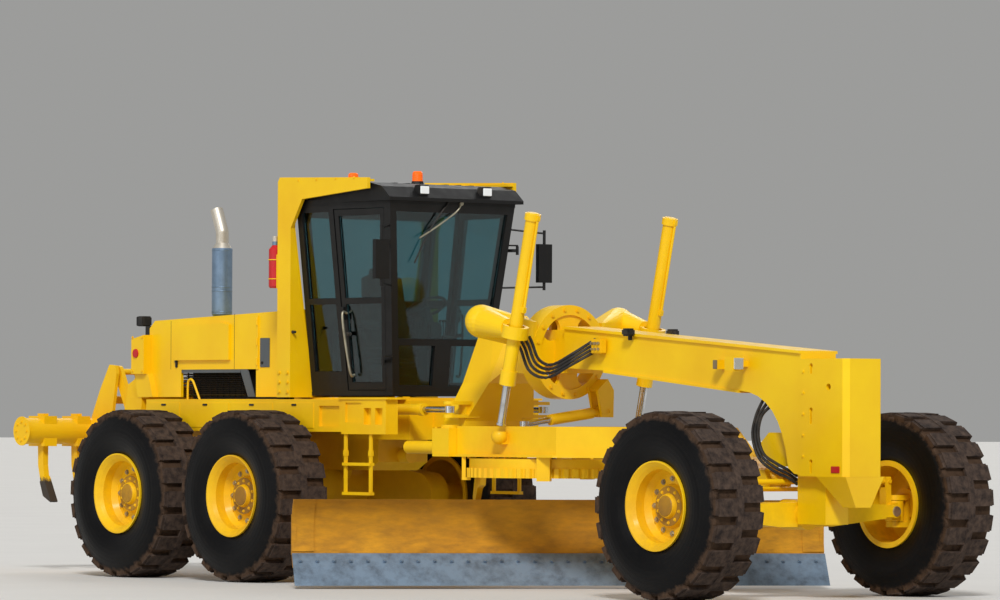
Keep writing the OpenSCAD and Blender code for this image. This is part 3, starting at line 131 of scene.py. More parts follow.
def close(tree: bpy.types.NodeTree, looks: dict[str, object]) -> None:
    """End a material in its shader.

    Args:
        tree: Material's tree.
        looks: What each input of the principled shader gets.
    """
    shader = add(tree, "ShaderNodeBsdfPrincipled", looks)
    add(tree, "ShaderNodeOutputMaterial", {"Surface": shader})


class Coat(Enum):
    """How shiny a paint is: its roughness and the weight of its clear top."""

    GLOSS = (0.36, 0.22)
    SATIN = (0.48, 0.10)
    MATT = (0.75, 0.0)


@dataclass(frozen=True)
class Paint:
    """Sprayed enamel on steel plate: even colour, dust on upward and low faces, small chips."""

    name: str
    colour: str
    shade: str
    dust: str = "#b59a6e"
    dusty: float = 0.45
    chips: float = 0.5
    coat: Coat = Coat.SATIN
    # Height under which the piece is caked with dry soil, and how soft its edge is, in metres
    dark_below: float = 0.0
    dark_soft: float = 0.04
    # Patches are this many times longer sideways than upwards
    streak: float = 1.0
    primer: str = "#4a3f33"
    soil: tuple[str, str] = ("#1d1b1a", "#4b4137")
    fade_mm: float = 900.0
    patch_mm: float = 120.0
    chip_mm: float = 42.0
    # Real orange peel is about 3 mm: drawn coarser so that it shows
    peel_mm: float = 9.0

    def build(self) -> bpy.types.Material:
        """Make the material.

        Returns:
            The material.
        """
        made, tree, place = start(self.name)
        run = add(tree, VECTOR, {0: place, 1: (1.0, 1.0, self.streak)}, operation="MULTIPLY")
        patch = add(tree, NOISE, {"Vector": run, "Scale": scale(self.patch_mm * self.streak ** 0.5),
                                  "Detail": 6, "Roughness": 0.65})
        flake = add(tree, NOISE, {"Vector": run, "Scale": scale(self.chip_mm),
                                  "Detail": 9, "Roughness": 0.72})
        height = add(tree, SPLIT, {0: place}).outputs["Z"]
        colour = self.dusted(tree, place, patch, height)
        chip = add(tree, RANGE, {0: flake, 1: 0.69, 2: 0.715, 3: 0.0, 4: self.chips})
        colour = add(tree, MIX, {0: chip, 6: colour, 7: linear(self.primer)}, data_type="RGBA")
        if self.dark_below > 0:
            colour = self.caked(tree, colour, patch, flake, height)
        gloss, sheen = self.coat.value
        rough = add(tree, RANGE, {0: patch, 1: 0.3, 2: 0.7, 3: gloss, 4: min(1.0, gloss + 0.18)})
        peel = add(tree, NOISE, {"Vector": place, "Scale": scale(self.peel_mm),
                                 "Detail": 3, "Roughness": 0.55})
        bump = add(tree, BUMP, {"Strength": 0.16, "Distance": 0.0016, "Height": peel})
        close(tree, {"Base Color": colour, "Roughness": rough, "Normal": bump, "Specular IOR Level": 0.35,
                     "Coat Weight": sheen, "Coat Roughness": 0.18})
        return made

    def dusted(self, tree: bpy.types.NodeTree, place: bpy.types.NodeSocket, patch: bpy.types.Node,
               height: bpy.types.NodeSocket) -> bpy.types.Node:
        """Lay dust on the faded colour, thicker low down and on faces that look up.

        Args:
            tree: Material's tree.
            place: The piece's own coordinates.
            patch: Noise of the dust's patches.
            height: Height above the ground.

        Returns:
            The node that gives the colour.
        """
        cloud = add(tree, NOISE, {"Vector": place, "Scale": scale(self.fade_mm),
                                  "Detail": 4, "Roughness": 0.55})
        fade = add(tree, RANGE, {0: cloud, 1: 0.35, 2: 0.7, 3: 0.0, 4: 1.0})
        base = add(tree, MIX, {0: fade, 6: linear(self.colour), 7: linear(self.shade)}, data_type="RGBA")
        normal = add(tree, "ShaderNodeNewGeometry").outputs["Normal"]
        facing = add(tree, SPLIT, {0: normal}).outputs["Z"]
        upward = add(tree, RANGE, {0: facing, 1: 0.3, 2: 1.0, 3: 0.0, 4: 0.55})
        low = add(tree, RANGE, {0: height, 1: 0.25, 2: 1.5, 3: 0.75, 4: 0.12})
        both = add(tree, NUMBER, {0: upward, 1: low}, operation="ADD")
        spots = add(tree, RANGE, {0: patch, 1: 0.36, 2: 0.66, 3: 0.0, 4: 1.0})
        cover = add(tree, NUMBER, {0: both, 1: spots}, operation="MULTIPLY")
        share = add(tree, NUMBER, {0: cover, 1: self.dusty}, operation="MULTIPLY")
        return add(tree, MIX, {0: share, 6: base, 7: linear(self.dust)}, data_type="RGBA")

    def caked(self, tree: bpy.types.NodeTree, colour: bpy.types.Node, patch: bpy.types.Node,
              flake: bpy.types.Node, height: bpy.types.NodeSocket) -> bpy.types.Node:
        """Cover what is under a height with dry soil.

        Args:
            tree: Material's tree.
            colour: Node that gives the clean colour.
            patch: Noise of the soil's patches.
            flake: Noise that makes the soil's edge wander.
            height: Height above the ground.

        Returns:
            The node that gives the colour.
        """
        wander = add(tree, RANGE, {0: flake, 1: 0.3, 2: 0.7, 3: -0.03, 4: 0.03})
        edge = add(tree, NUMBER, {0: height, 1: wander}, operation="ADD")
        dark = add(tree, RANGE, {0: edge, 1: self.dark_below - self.dark_soft, 2: self.dark_below,
                                 3: 1.0, 4: 0.0})
        wet, dry = (linear(code) for code in self.soil)
        soil = add(tree, MIX, {0: patch, 6: wet, 7: dry}, data_type="RGBA")
        return add(tree, MIX, {0: dark, 6: colour, 7: soil}, data_type="RGBA")


@dataclass(frozen=True)
class Tread:
    """Moulded tyre rubber: black ribbed sidewalls, brown mud in the grooves, dry dust on the lugs."""

    name: str
    centre: Point
    wall: tuple[str, str] = ("#040406", "#120f0d")
    mud: tuple[str, str] = ("#2b1f17", "#5a4535")
    lug: tuple[str, str] = ("#272120", "#5a4a40")
    # Radii in metres, from and to: the wall's rings begin, mud begins, grain begins, lugs' crowns
    rings: tuple[float, float] = (0.60, 0.61)
    muddy: tuple[float, float] = (0.715, 0.755)
    grainy: tuple[float, float] = (0.74, 0.76)
    crown: tuple[float, float] = (0.770, 0.786)
    ring_mm: float = 12.0
    clump_mm: float = 60.0
    grain_mm: float = 7.0

    def build(self) -> bpy.types.Material:
        """Make the material for a wheel about its own centre.

        Returns:
            The material.
        """
        made, tree, place = start(self.name)
        hub = at(*self.centre)
        flat = add(tree, VECTOR, {0: place, 1: (1.0, 0.0, 1.0)}, operation="MULTIPLY")
        radius = add(tree, VECTOR, {0: flat, 1: (hub.x, 0.0, hub.z)}, operation="DISTANCE")
        clump = add(tree, NOISE, {"Vector": place, "Scale": scale(self.clump_mm),
                                  "Detail": 7, "Roughness": 0.62})
        rough = add(tree, RANGE, {0: radius, 1: 0.70, 2: 0.77, 3: 0.40, 4: 0.9})
        relief = self.relief(tree, place, radius)
        bump = add(tree, BUMP, {"Strength": 0.5, "Distance": 0.004, "Height": relief})
        close(tree, {"Base Color": self.colours(tree, clump, radius), "Roughness": rough, "Normal": bump,
                     "Specular IOR Level": 0.16})
        return made

    def colours(self, tree: bpy.types.NodeTree, clump: bpy.types.Node,
                radius: bpy.types.Node) -> bpy.types.Node:
        """Colour the wall, the grooves and the lugs by their radius.

        Args:
            tree: Material's tree.
            clump: Noise of the mud's clumps.
            radius: Distance from the hub.

        Returns:
            The node that gives the colour.
        """
        black, greyed = (linear(code) for code in self.wall)
        wet, dry = (linear(code) for code in self.mud)
        worn, dusty = (linear(code) for code in self.lug)
        stained = add(tree, RANGE, {0: clump, 1: 0.45, 2: 0.75, 3: 0.0, 4: 0.55})
        wall = add(tree, MIX, {0: stained, 6: black, 7: greyed}, data_type="RGBA")
        mud = add(tree, MIX, {0: clump, 6: wet, 7: dry}, data_type="RGBA")
        dusted = add(tree, RANGE, {0: clump, 1: 0.30, 2: 0.72, 3: 0.0, 4: 1.0})
        lug = add(tree, MIX, {0: dusted, 6: worn, 7: dusty}, data_type="RGBA")
        crown = add(tree, RANGE, {0: radius, 1: self.crown[0], 2: self.crown[1], 3: 0.0, 4: 1.0})
        outer = add(tree, MIX, {0: crown, 6: mud, 7: lug}, data_type="RGBA")
        shift = add(tree, RANGE, {0: clump, 1: 0.3, 2: 0.7, 3: -0.02, 4: 0.02})
        wander = add(tree, NUMBER, {0: radius, 1: shift}, operation="ADD")
        muddy = add(tree, RANGE, {0: wander, 1: self.muddy[0], 2: self.muddy[1], 3: 0.0, 4: 1.0})
        return add(tree, MIX, {0: muddy, 6: wall, 7: outer}, data_type="RGBA")

    def relief(self, tree: bpy.types.NodeTree, place: bpy.types.NodeSocket,
               radius: bpy.types.Node) -> bpy.types.Node:
        """Raise the moulding rings of the wall and the mud's grain on the tread.

        Args:
            tree: Material's tree.
            place: The piece's own coordinates.
            radius: Distance from the hub.

        Returns:
            The node that gives the height.
        """
        turn = 2 * math.pi / (self.ring_mm * MM)
        wave = add(tree, NUMBER, {0: radius, 1: turn}, operation="MULTIPLY")
        ring = add(tree, NUMBER, {0: wave}, operation="SINE")
        keep = add(tree, RANGE, {0: radius, 1: self.rings[0], 2: self.rings[1], 3: 0.0, 4: 0.25})
        ridged = add(tree, NUMBER, {0: ring, 1: keep}, operation="MULTIPLY")
        fine = add(tree, NOISE, {"Vector": place, "Scale": scale(self.grain_mm),
                                 "Detail": 4, "Roughness": 0.6})
        coarse = add(tree, RANGE, {0: radius, 1: self.grainy[0], 2: self.grainy[1], 3: 0.3, 4: 3.0})
        grain = add(tree, NUMBER, {0: fine, 1: coarse}, operation="MULTIPLY")
        return add(tree, NUMBER, {0: ridged, 1: grain}, operation="ADD")


@dataclass(frozen=True)
class Metal:
    """Bare or plated steel: fine drawn marks, light staining."""

    name: str
    colour: str
    stain: str
    rough: float
    metallic: float = 1.0
    # Height above which the metal is bare and bright, in metres, and its two colours there
    bright_above: float = 0.0
    bright: tuple[str, str] = ("#e2ddd2", "#b7ad9c")
    mark_mm: float = 4.0
    stain_mm: float = 140.0

    def build(self) -> bpy.types.Material:
        """Make the material.

        Returns:
            The material.
        """
        made, tree, place = start(self.name)
        drawn = add(tree, VECTOR, {0: place, 1: (1.0, 1.0, 0.08)}, operation="MULTIPLY")
        marks = add(tree, NOISE, {"Vector": drawn, "Scale": scale(self.mark_mm),
                                  "Detail": 3, "Roughness": 0.55})
        cloud = add(tree, NOISE, {"Vector": place, "Scale": scale(self.stain_mm),
                                  "Detail": 6, "Roughness": 0.65})
        share = add(tree, RANGE, {0: cloud, 1: 0.42, 2: 0.72, 3: 0.0, 4: 0.8})
        colour = add(tree, MIX, {0: share, 6: linear(self.colour), 7: linear(self.stain)}, data_type="RGBA")
        if self.bright_above > 0:
            height = add(tree, SPLIT, {0: place}).outputs["Z"]
            lift = add(tree, RANGE, {0: height, 1: self.bright_above, 2: self.bright_above + 0.004,
                                     3: 0.0, 4: 1.0})
            clean, dull = (linear(code) for code in self.bright)
            bare = add(tree, MIX, {0: cloud, 6: clean, 7: dull}, data_type="RGBA")
            colour = add(tree, MIX, {0: lift, 6: colour, 7: bare}, data_type="RGBA")
        rough = add(tree, RANGE, {0: marks, 1: 0.3, 2: 0.7, 3: self.rough, 4: self.rough + 0.14})
        bump = add(tree, BUMP, {"Strength": 0.1, "Distance": 0.0006, "Height": marks})
        close(tree, {"Base Color": colour, "Roughness": rough, "Normal": bump, "Metallic": self.metallic})
        return made


@dataclass(frozen=True)
class Moulded:
    """Moulded rubber, vinyl or plastic: fine leather-like grain and a film of dust."""

    name: str
    colour: str
    dust: str = "#6d6459"
    rough: float = 0.5
    # Real grain is about 1 mm: drawn coarser so that it shows
    grain_mm: float = 3.0
    film_mm: float = 200.0
    glow: float = 0.0

    def build(self) -> bpy.types.Material:
        """Make the material.

        Returns:
            The material.
        """
        made, tree, place = start(self.name)
        film = add(tree, NOISE, {"Vector": place, "Scale": scale(self.film_mm),
                                 "Detail": 6, "Roughness": 0.6})
        cells = add(tree, "ShaderNodeTexVoronoi", {"Vector": place, "Scale": scale(self.grain_mm)})
        share = add(tree, RANGE, {0: film, 1: 0.45, 2: 0.75, 3: 0.02, 4: 0.4})
        colour = add(tree, MIX, {0: share, 6: linear(self.colour), 7: linear(self.dust)}, data_type="RGBA")
        rough = add(tree, RANGE, {0: film, 1: 0.3, 2: 0.7, 3: self.rough, 4: self.rough + 0.2})
        bump = add(tree, BUMP, {"Strength": 0.15, "Distance": 0.0006, "Height": cells})
        looks = {"Base Color": colour, "Roughness": rough, "Normal": bump}
        if self.glow > 0:
            looks.update({"Emission Color": linear(self.colour), "Emission Strength": self.glow})
        close(tree, looks)
        return made


@dataclass(frozen=True)
class Clear:
    """Toughened glass or lamp lens: tinted through, a thin film of dust."""

    name: str
    colour: str
    rough: float = 0.02
    through: float = 1.0
    ribs_mm: float = 0.0
    film: str = "#b9c2bd"
    film_mm: float = 260.0
    # A wave texture of this scale has one band in a metre
    one_band: float = 0.314

    def build(self) -> bpy.types.Material:
        """Make the material.

        Returns:
            The material.
        """
        made, tree, place = start(self.name)
        film = add(tree, NOISE, {"Vector": place, "Scale": scale(self.film_mm),
                                 "Detail": 6, "Roughness": 0.65})
        haze = add(tree, RANGE, {0: film, 1: 0.4, 2: 0.8, 3: self.rough, 4: self.rough + 0.09})
        share = add(tree, RANGE, {0: film, 1: 0.5, 2: 0.8, 3: 0.0, 4: 0.25})
        colour = add(tree, MIX, {0: share, 6: linear(self.colour), 7: linear(self.film)}, data_type="RGBA")
        looks = {"Base Color": colour, "Roughness": haze, "Transmission Weight": self.through}
        if self.ribs_mm > 0:
            ribs = {"Vector": place, "Scale": self.one_band * scale(self.ribs_mm)}
            wave = add(tree, "ShaderNodeTexWave", ribs, bands_direction="Z")
            looks["Normal"] = add(tree, BUMP, {"Strength": 0.4, "Distance": 0.001, "Height": wave})
        close(tree, looks)
        return made


Finish = Paint | Tread | Metal | Moulded | Clear


class Shop:
    """Builds each finish once and hands it out by name."""

    def __init__(self) -> None:
        """Start with an empty shelf."""
        self.made: dict[str, bpy.types.Material] = {}

    def get(self, finish: Finish) -> bpy.types.Material:
        """Return the finish's material, made on first use.

        Args:
            finish: A finish with a name and a build method.

        Returns:
            The material.
        """
        if finish.name not in self.made:
            self.made[finish.name] = finish.build()
        return self.made[finish.name]


SHOP = Shop()
# Sprayed machine enamel, some seasons old: warm yellow, satin, with ochre dust in loose patches
YELLOW = Paint("enamel_machine_yellow", "#f9ca00", "#ecb200", dust="#a87c1e", dusty=0.3)
# The same enamel out of the dirt's reach: brighter and glossier
CLEAN_YELLOW = Paint("enamel_upper_yellow", "#fbcf00", "#f1bd00", dust="#b98f2a", dusty=0.12, chips=0.3,
                     coat=Coat.GLOSS)
# Enamelled wheel discs: yellow with brown road dirt
RIM_YELLOW = Paint("enamel_rim_yellow", "#f8c800", "#e8b000", dust="#8f6a30", dusty=0.3, chips=0.6)
# Moldboard's enamel scoured by soil, with real brown streaks along the blade; its dull, darker ochre is partly
# painted shade of the blade under the frame
BLADE_SHADED_YELLOW = Paint("enamel_worn_blade_painted_shade", "#d3961a", "#bf8214", dust="#6a4c2c", dusty=0.7, chips=0.6,
                     coat=Coat.MATT, streak=3.0)
# Ripper's enamel: yellow above, its shanks dark with dry soil below
RIPPER_YELLOW = Paint("enamel_ripper_yellow", "#f9ca00", "#ecb400", dust="#a5783a", dusty=0.22,
                      dark_below=0.93)
# Greasy hub covers that hold dust: brown over yellow, the brown partly real dust and partly painted shade of
# the hub's recess in the wheel's dish
HUB_DUST_AND_SHADE = Paint("enamel_hub_dust_and_shade", "#c28f16", "#94681a", dust="#5e4226", dusty=0.9, chips=0.8)
# Satin black enamel of the cab: near black, with a soft line of light on its edges
CAB_BLACK = Paint("enamel_cab_black", "#050506", "#09090a", dust="#3a352e", dusty=0.1, chips=0.1)
# Engine black under oily dust: dark brown-grey
FRAME_DARK = Paint("enamel_engine_dark", "#0e0f10", "#191714", dust="#5a4a36", dusty=0.5, chips=0.3)
# Grey enamel of the hood's small plates: cool and flat
GREY_PLATE = Paint("enamel_grey_panel", "#5a6268", "#4a5055", dust="#8a8478", dusty=0.4, chips=0.2)
# Hard chromed piston rods: bright, mirror-like, with faint drawn marks
CHROME = Metal("hard_chrome_rod", "#d9dcdf", "#a8a59e", 0.12)
# Aluminised steel muffler, blue-grey from heat, with a bright bare tail pipe
MUFFLER = Metal("aluminised_steel_muffler", "#7d95b0", "#62788f", 0.40, 0.7, bright_above=3.18)
# Hardened steel edge polished by soil: blue-grey, with dull stains
EDGE = Metal("worn_edge_steel", "#8398ad", "#56606b", 0.42, 0.8)
# Yellow-zinc-plated bolts gone dull
BOLT = Metal("zinc_bolt_steel", "#b9b39e", "#7c7462", 0.38, 0.85)
# Extruded hose rubber: black with a soft sheen
HOSE = Moulded("black_hose_rubber", "#141414", rough=0.42)
# Moulded rubber of buffers, seals, handles and lamp bodies: matt black
TRIM = Moulded("black_rubber_trim", "#101011", rough=0.55)
# Embossed vinyl of the seat: charcoal with a leather grain
VINYL = Moulded("seat_vinyl", "#1f1f22", rough=0.6, grain_mm=4.0)
# Moulded ABS of the console: dark grey, even
PLASTIC = Moulded("cab_plastic", "#242427", rough=0.5)
# Beacon's polycarbonate dome: deep orange that seems lit from inside
AMBER = Moulded("beacon_amber", "#ff6a0a", dust="#e5641a", rough=0.2, glow=0.35)
# Glossy red of lenses, reflectors and the extinguisher
RED = Moulded("enamel_red", "#c4161c", dust="#8f3a30", rough=0.3)
# Vapour-plated lamp reflector: near white, smooth
WHITE = Moulded("lamp_reflector", "#e8ecee", dust="#cfd2d2", rough=0.2, glow=0.12)
# Smoked side lens: brown, glossy
BROWN = Moulded("lens_smoked_brown", "#7c6a4c", dust="#8e8166", rough=0.2)
# Toughened cab glass: clear with a real blue-green tint, made deep enough to paint the shade inside the cab
GLASS_TINT_AND_SHADE = Clear("cab_glass_teal_painted_shade", "#7ab0b8")
# Ribbed polycarbonate lens over the head lamps
LENS = Clear("lamp_lens_clear", "#f2f6f6", 0.05, 0.8, ribs_mm=8.0)


class Shape:
    """A mesh in the making, in millimetres from the front axle's ground point."""

    def __init__(self) -> None:
        """Start an empty mesh."""
        self.bm = bmesh.new()

    def box(self, low: Point, high: Point, bevel: float = 4.0) -> "Shape":
        """Add a box with rounded edges.

        Args:
            low: One corner.
            high: The opposite corner.
            bevel: Radius of its edges.

        Returns:
            The shape itself.
        """
        a, b = Vector(low), Vector(high)
        size = Vector((abs(b.x - a.x), abs(b.y - a.y), abs(b.z - a.z)))
        place = Matrix.Translation((a + b) / 2) @ Matrix.Diagonal((*size, 1))
        made = bmesh.ops.create_cube(self.bm, size=1, matrix=place)
        if bevel > 0:
            edges = list({e for v in made["verts"] for e in v.link_edges})
            offset = min(bevel, min(size) * 0.3)
            bmesh.ops.bevel(self.bm, geom=edges, offset=offset, segments=2, affect="EDGES")
        return self

    def rod(self, a: Point, b: Point, r: float, r2: float | None = None, sides: int = 24) -> "Shape":
        """Add a closed round bar or cone from a to b.

        Args:
            a: Centre of its first end.
            b: Centre of its other end.
            r: Radius at a.
            r2: Radius at b, or the same.
            sides: Facets round it.

        Returns:
            The shape itself.
        """
        a, b = Vector(a), Vector(b)
        place = Matrix.Translation((a + b) / 2) @ (b - a).to_track_quat("Z", "Y").to_matrix().to_4x4()
        bmesh.ops.create_cone(self.bm, cap_ends=True, segments=sides, radius1=r,
                              radius2=r if r2 is None else r2, depth=(b - a).length, matrix=place)
        return self

    def ball(self, centre: Point, r: float) -> "Shape":
        """Add a sphere."""
        bmesh.ops.create_uvsphere(self.bm, u_segments=24, v_segments=14, radius=r,
                                  matrix=Matrix.Translation(Vector(centre)))
        return self

    def tube(self, points: list[Point], r: float, sides: int = 10, steps: int = 6) -> "Shape":
        """Add a bent round tube through points, closed at its ends.

        Args:
            points: Places its centre line passes.
            r: Radius.
            sides: Facets round it.
            steps: Rings from one point to the next.

        Returns:
            The shape itself.
        """
        line = smooth_line([Vector(p) for p in points], steps)
        rings: list[list[bmesh.types.BMVert]] = []
        side = None
        for i, spot in enumerate(line):
            ahead = (line[min(i + 1, len(line) - 1)] - line[max(i - 1, 0)]).normalized()
            if side is None:
                side = ahead.orthogonal().normalized()
            side = (side - ahead * side.dot(ahead)).normalized()
            other = ahead.cross(side)
            rings.append([self.bm.verts.new(spot + r * (side * math.cos(t) + other * math.sin(t)))
                          for t in (2 * math.pi * k / sides for k in range(sides))])
        for one, two in zip(rings, rings[1:]):
            for k in range(sides):
                j = (k + 1) % sides
                self.bm.faces.new((one[k], one[j], two[j], two[k]))
        self.bm.faces.new(list(reversed(rings[0])))
        self.bm.faces.new(rings[-1])
        return self

    def plate(self, outline: list[tuple[float, float]], y: float, thick: float) -> "Shape":
        """Add an upright plate with a side outline.

        Args:
            outline: Points in X and Z.
            y: Its middle plane.
            thick: Thickness across.

        Returns:
            The shape itself.
        """
        near = [self.bm.verts.new((x, y - thick / 2, z)) for x, z in outline]
        far = [self.bm.verts.new((x, y + thick / 2, z)) for x, z in outline]
        faces = [self.bm.faces.new(near), self.bm.faces.new(list(reversed(far)))]
        for i in range(len(near)):
            j = (i + 1) % len(near)
            faces.append(self.bm.faces.new((near[j], near[i], far[i], far[j])))
        bmesh.ops.recalc_face_normals(self.bm, faces=faces)
        return self

    def ring(self, centre: Point, axis: Point, major: float, minor: float, turns: int = 72,
             sides: int = 8) -> "Shape":
        """Add a round ring.

        Args:
            centre: Its centre.
            axis: Direction it turns about.
            major: Radius of its centre line.
            minor: Radius of its section.
            turns: Facets along it.
            sides: Facets round its section.

        Returns:
            The shape itself.
        """
        turn = Vector(axis).to_track_quat("Z", "Y").to_matrix()
        rings = []
        for i in range(turns):
            a = 2 * math.pi * i / turns
            out = Vector((math.cos(a), math.sin(a), 0))
            section = []
            for k in range(sides):
                t = 2 * math.pi * k / sides
                spot = out * (major + minor * math.cos(t)) + Vector((0, 0, minor * math.sin(t)))
                section.append(self.bm.verts.new(Vector(centre) + turn @ spot))
            rings.append(section)
        for i, one in enumerate(rings):
            two = rings[(i + 1) % turns]
            for k in range(sides):
                j = (k + 1) % sides
                self.bm.faces.new((one[k], two[k], two[j], one[j]))
        return self

    def pad(self, centre: Point, size: Point, crown: float, lean: float = 0.0) -> "Shape":
        """Add a crowned cushion whose sides pull in between its corners.

        Args:
            centre: Its middle.
            size: Length, width and thickness.
            crown: How round it is, from 0 to 1.
            lean: Turn about the cross axis, in degrees.

        Returns:
            The shape itself.
        """
        channels = (-0.38, 0.38)
        channel_width = 0.05
        channel_depth = 0.09
        block = bmesh.new()
        bmesh.ops.create_cube(block, size=2)
        bmesh.ops.subdivide_edges(block, edges=block.edges[:], cuts=9, use_grid_fill=True)
        turn = Matrix.Rotation(math.radians(lean), 3, "Y")
        for v in block.verts:
            x, y, z = v.co
            ball = Vector((x * math.sqrt(max(0, 1 - y * y / 2 - z * z / 2 + y * y * z * z / 3)),
                           y * math.sqrt(max(0, 1 - z * z / 2 - x * x / 2 + z * z * x * x / 3)),
                           z * math.sqrt(max(0, 1 - x * x / 2 - y * y / 2 + x * x * y * y / 3))))
            mixed = v.co.lerp(ball, crown)
            if z > 0:
                # Two sewn channels run along the cushion's top
                deep = sum(math.exp(-((mixed.y - c) / channel_width) ** 2) for c in channels)
                mixed.z -= channel_depth * deep
            v.co = Vector(centre) + turn @ Vector(m * s / 2 for m, s in zip(mixed, size))
        mesh = bpy.data.meshes.new("cushion")
        block.to_mesh(mesh)
        block.free()
        self.bm.from_mesh(mesh)
        bpy.data.meshes.remove(mesh)
        return self

    def done(self, name: str, body: str, finish: Finish, slot: str, angle: float = 35.0) -> bpy.types.Object:
        """Close the mesh and put the piece on its body.

        Args:
            name: Piece's name.
            body: Body it rides on.
            finish: Its finish.
            slot: A record's material slot name; not used.
            angle: Edges sharper than this stay sharp.

        Returns:
            The finished piece.
        """
        for v in self.bm.verts:
            v.co = at(*v.co)
        bmesh.ops.recalc_face_normals(self.bm, faces=self.bm.faces[:])
        mesh = bpy.data.meshes.new(name)
        self.bm.to_mesh(mesh)
        self.bm.free()
        mesh.shade_smooth()
        mesh.set_sharp_from_angle(angle=math.radians(angle))
        return settle(mesh, name, body, finish)


def smooth_line(points: list[Vector], steps: int) -> list[Vector]:
    """Run a smooth line through points.

    Args:
        points: Places it passes.
        steps: Points for each span.

    Returns:
        The line's points.
    """
    line = []
    last = len(points) - 1
    for i in range(last):
        p0, p1, p2, p3 = points[max(i - 1, 0)], points[i], points[i + 1], points[min(i + 2, last)]
        for k in range(steps):
            f = k / steps
            line.append(0.5 * (2 * p1 + f * (p2 - p0) + f * f * (2 * p0 - 5 * p1 + 4 * p2 - p3)
                               + f ** 3 * (3 * p1 - p0 - 3 * p2 + p3)))
    return line + [points[-1]]


def settle(mesh: bpy.types.Mesh, name: str, body: str, finish: Finish) -> bpy.types.Object:
    """Make a piece of a finished mesh and put it on its body.

    Args:
        mesh: Mesh in the frame's metres.
        name: Piece's name.
        body: Body it rides on.
        finish: Its finish.

    Returns:
        The piece.
    """
    piece = bpy.data.objects.new(name, mesh)
    bpy.context.scene.collection.objects.link(piece)
    mesh.materials.clear()
    mesh.materials.append(SHOP.get(finish))
    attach(piece, body)
    LOG.info("%s on %s: %d faces", name, body, len(mesh.polygons))
    return piece


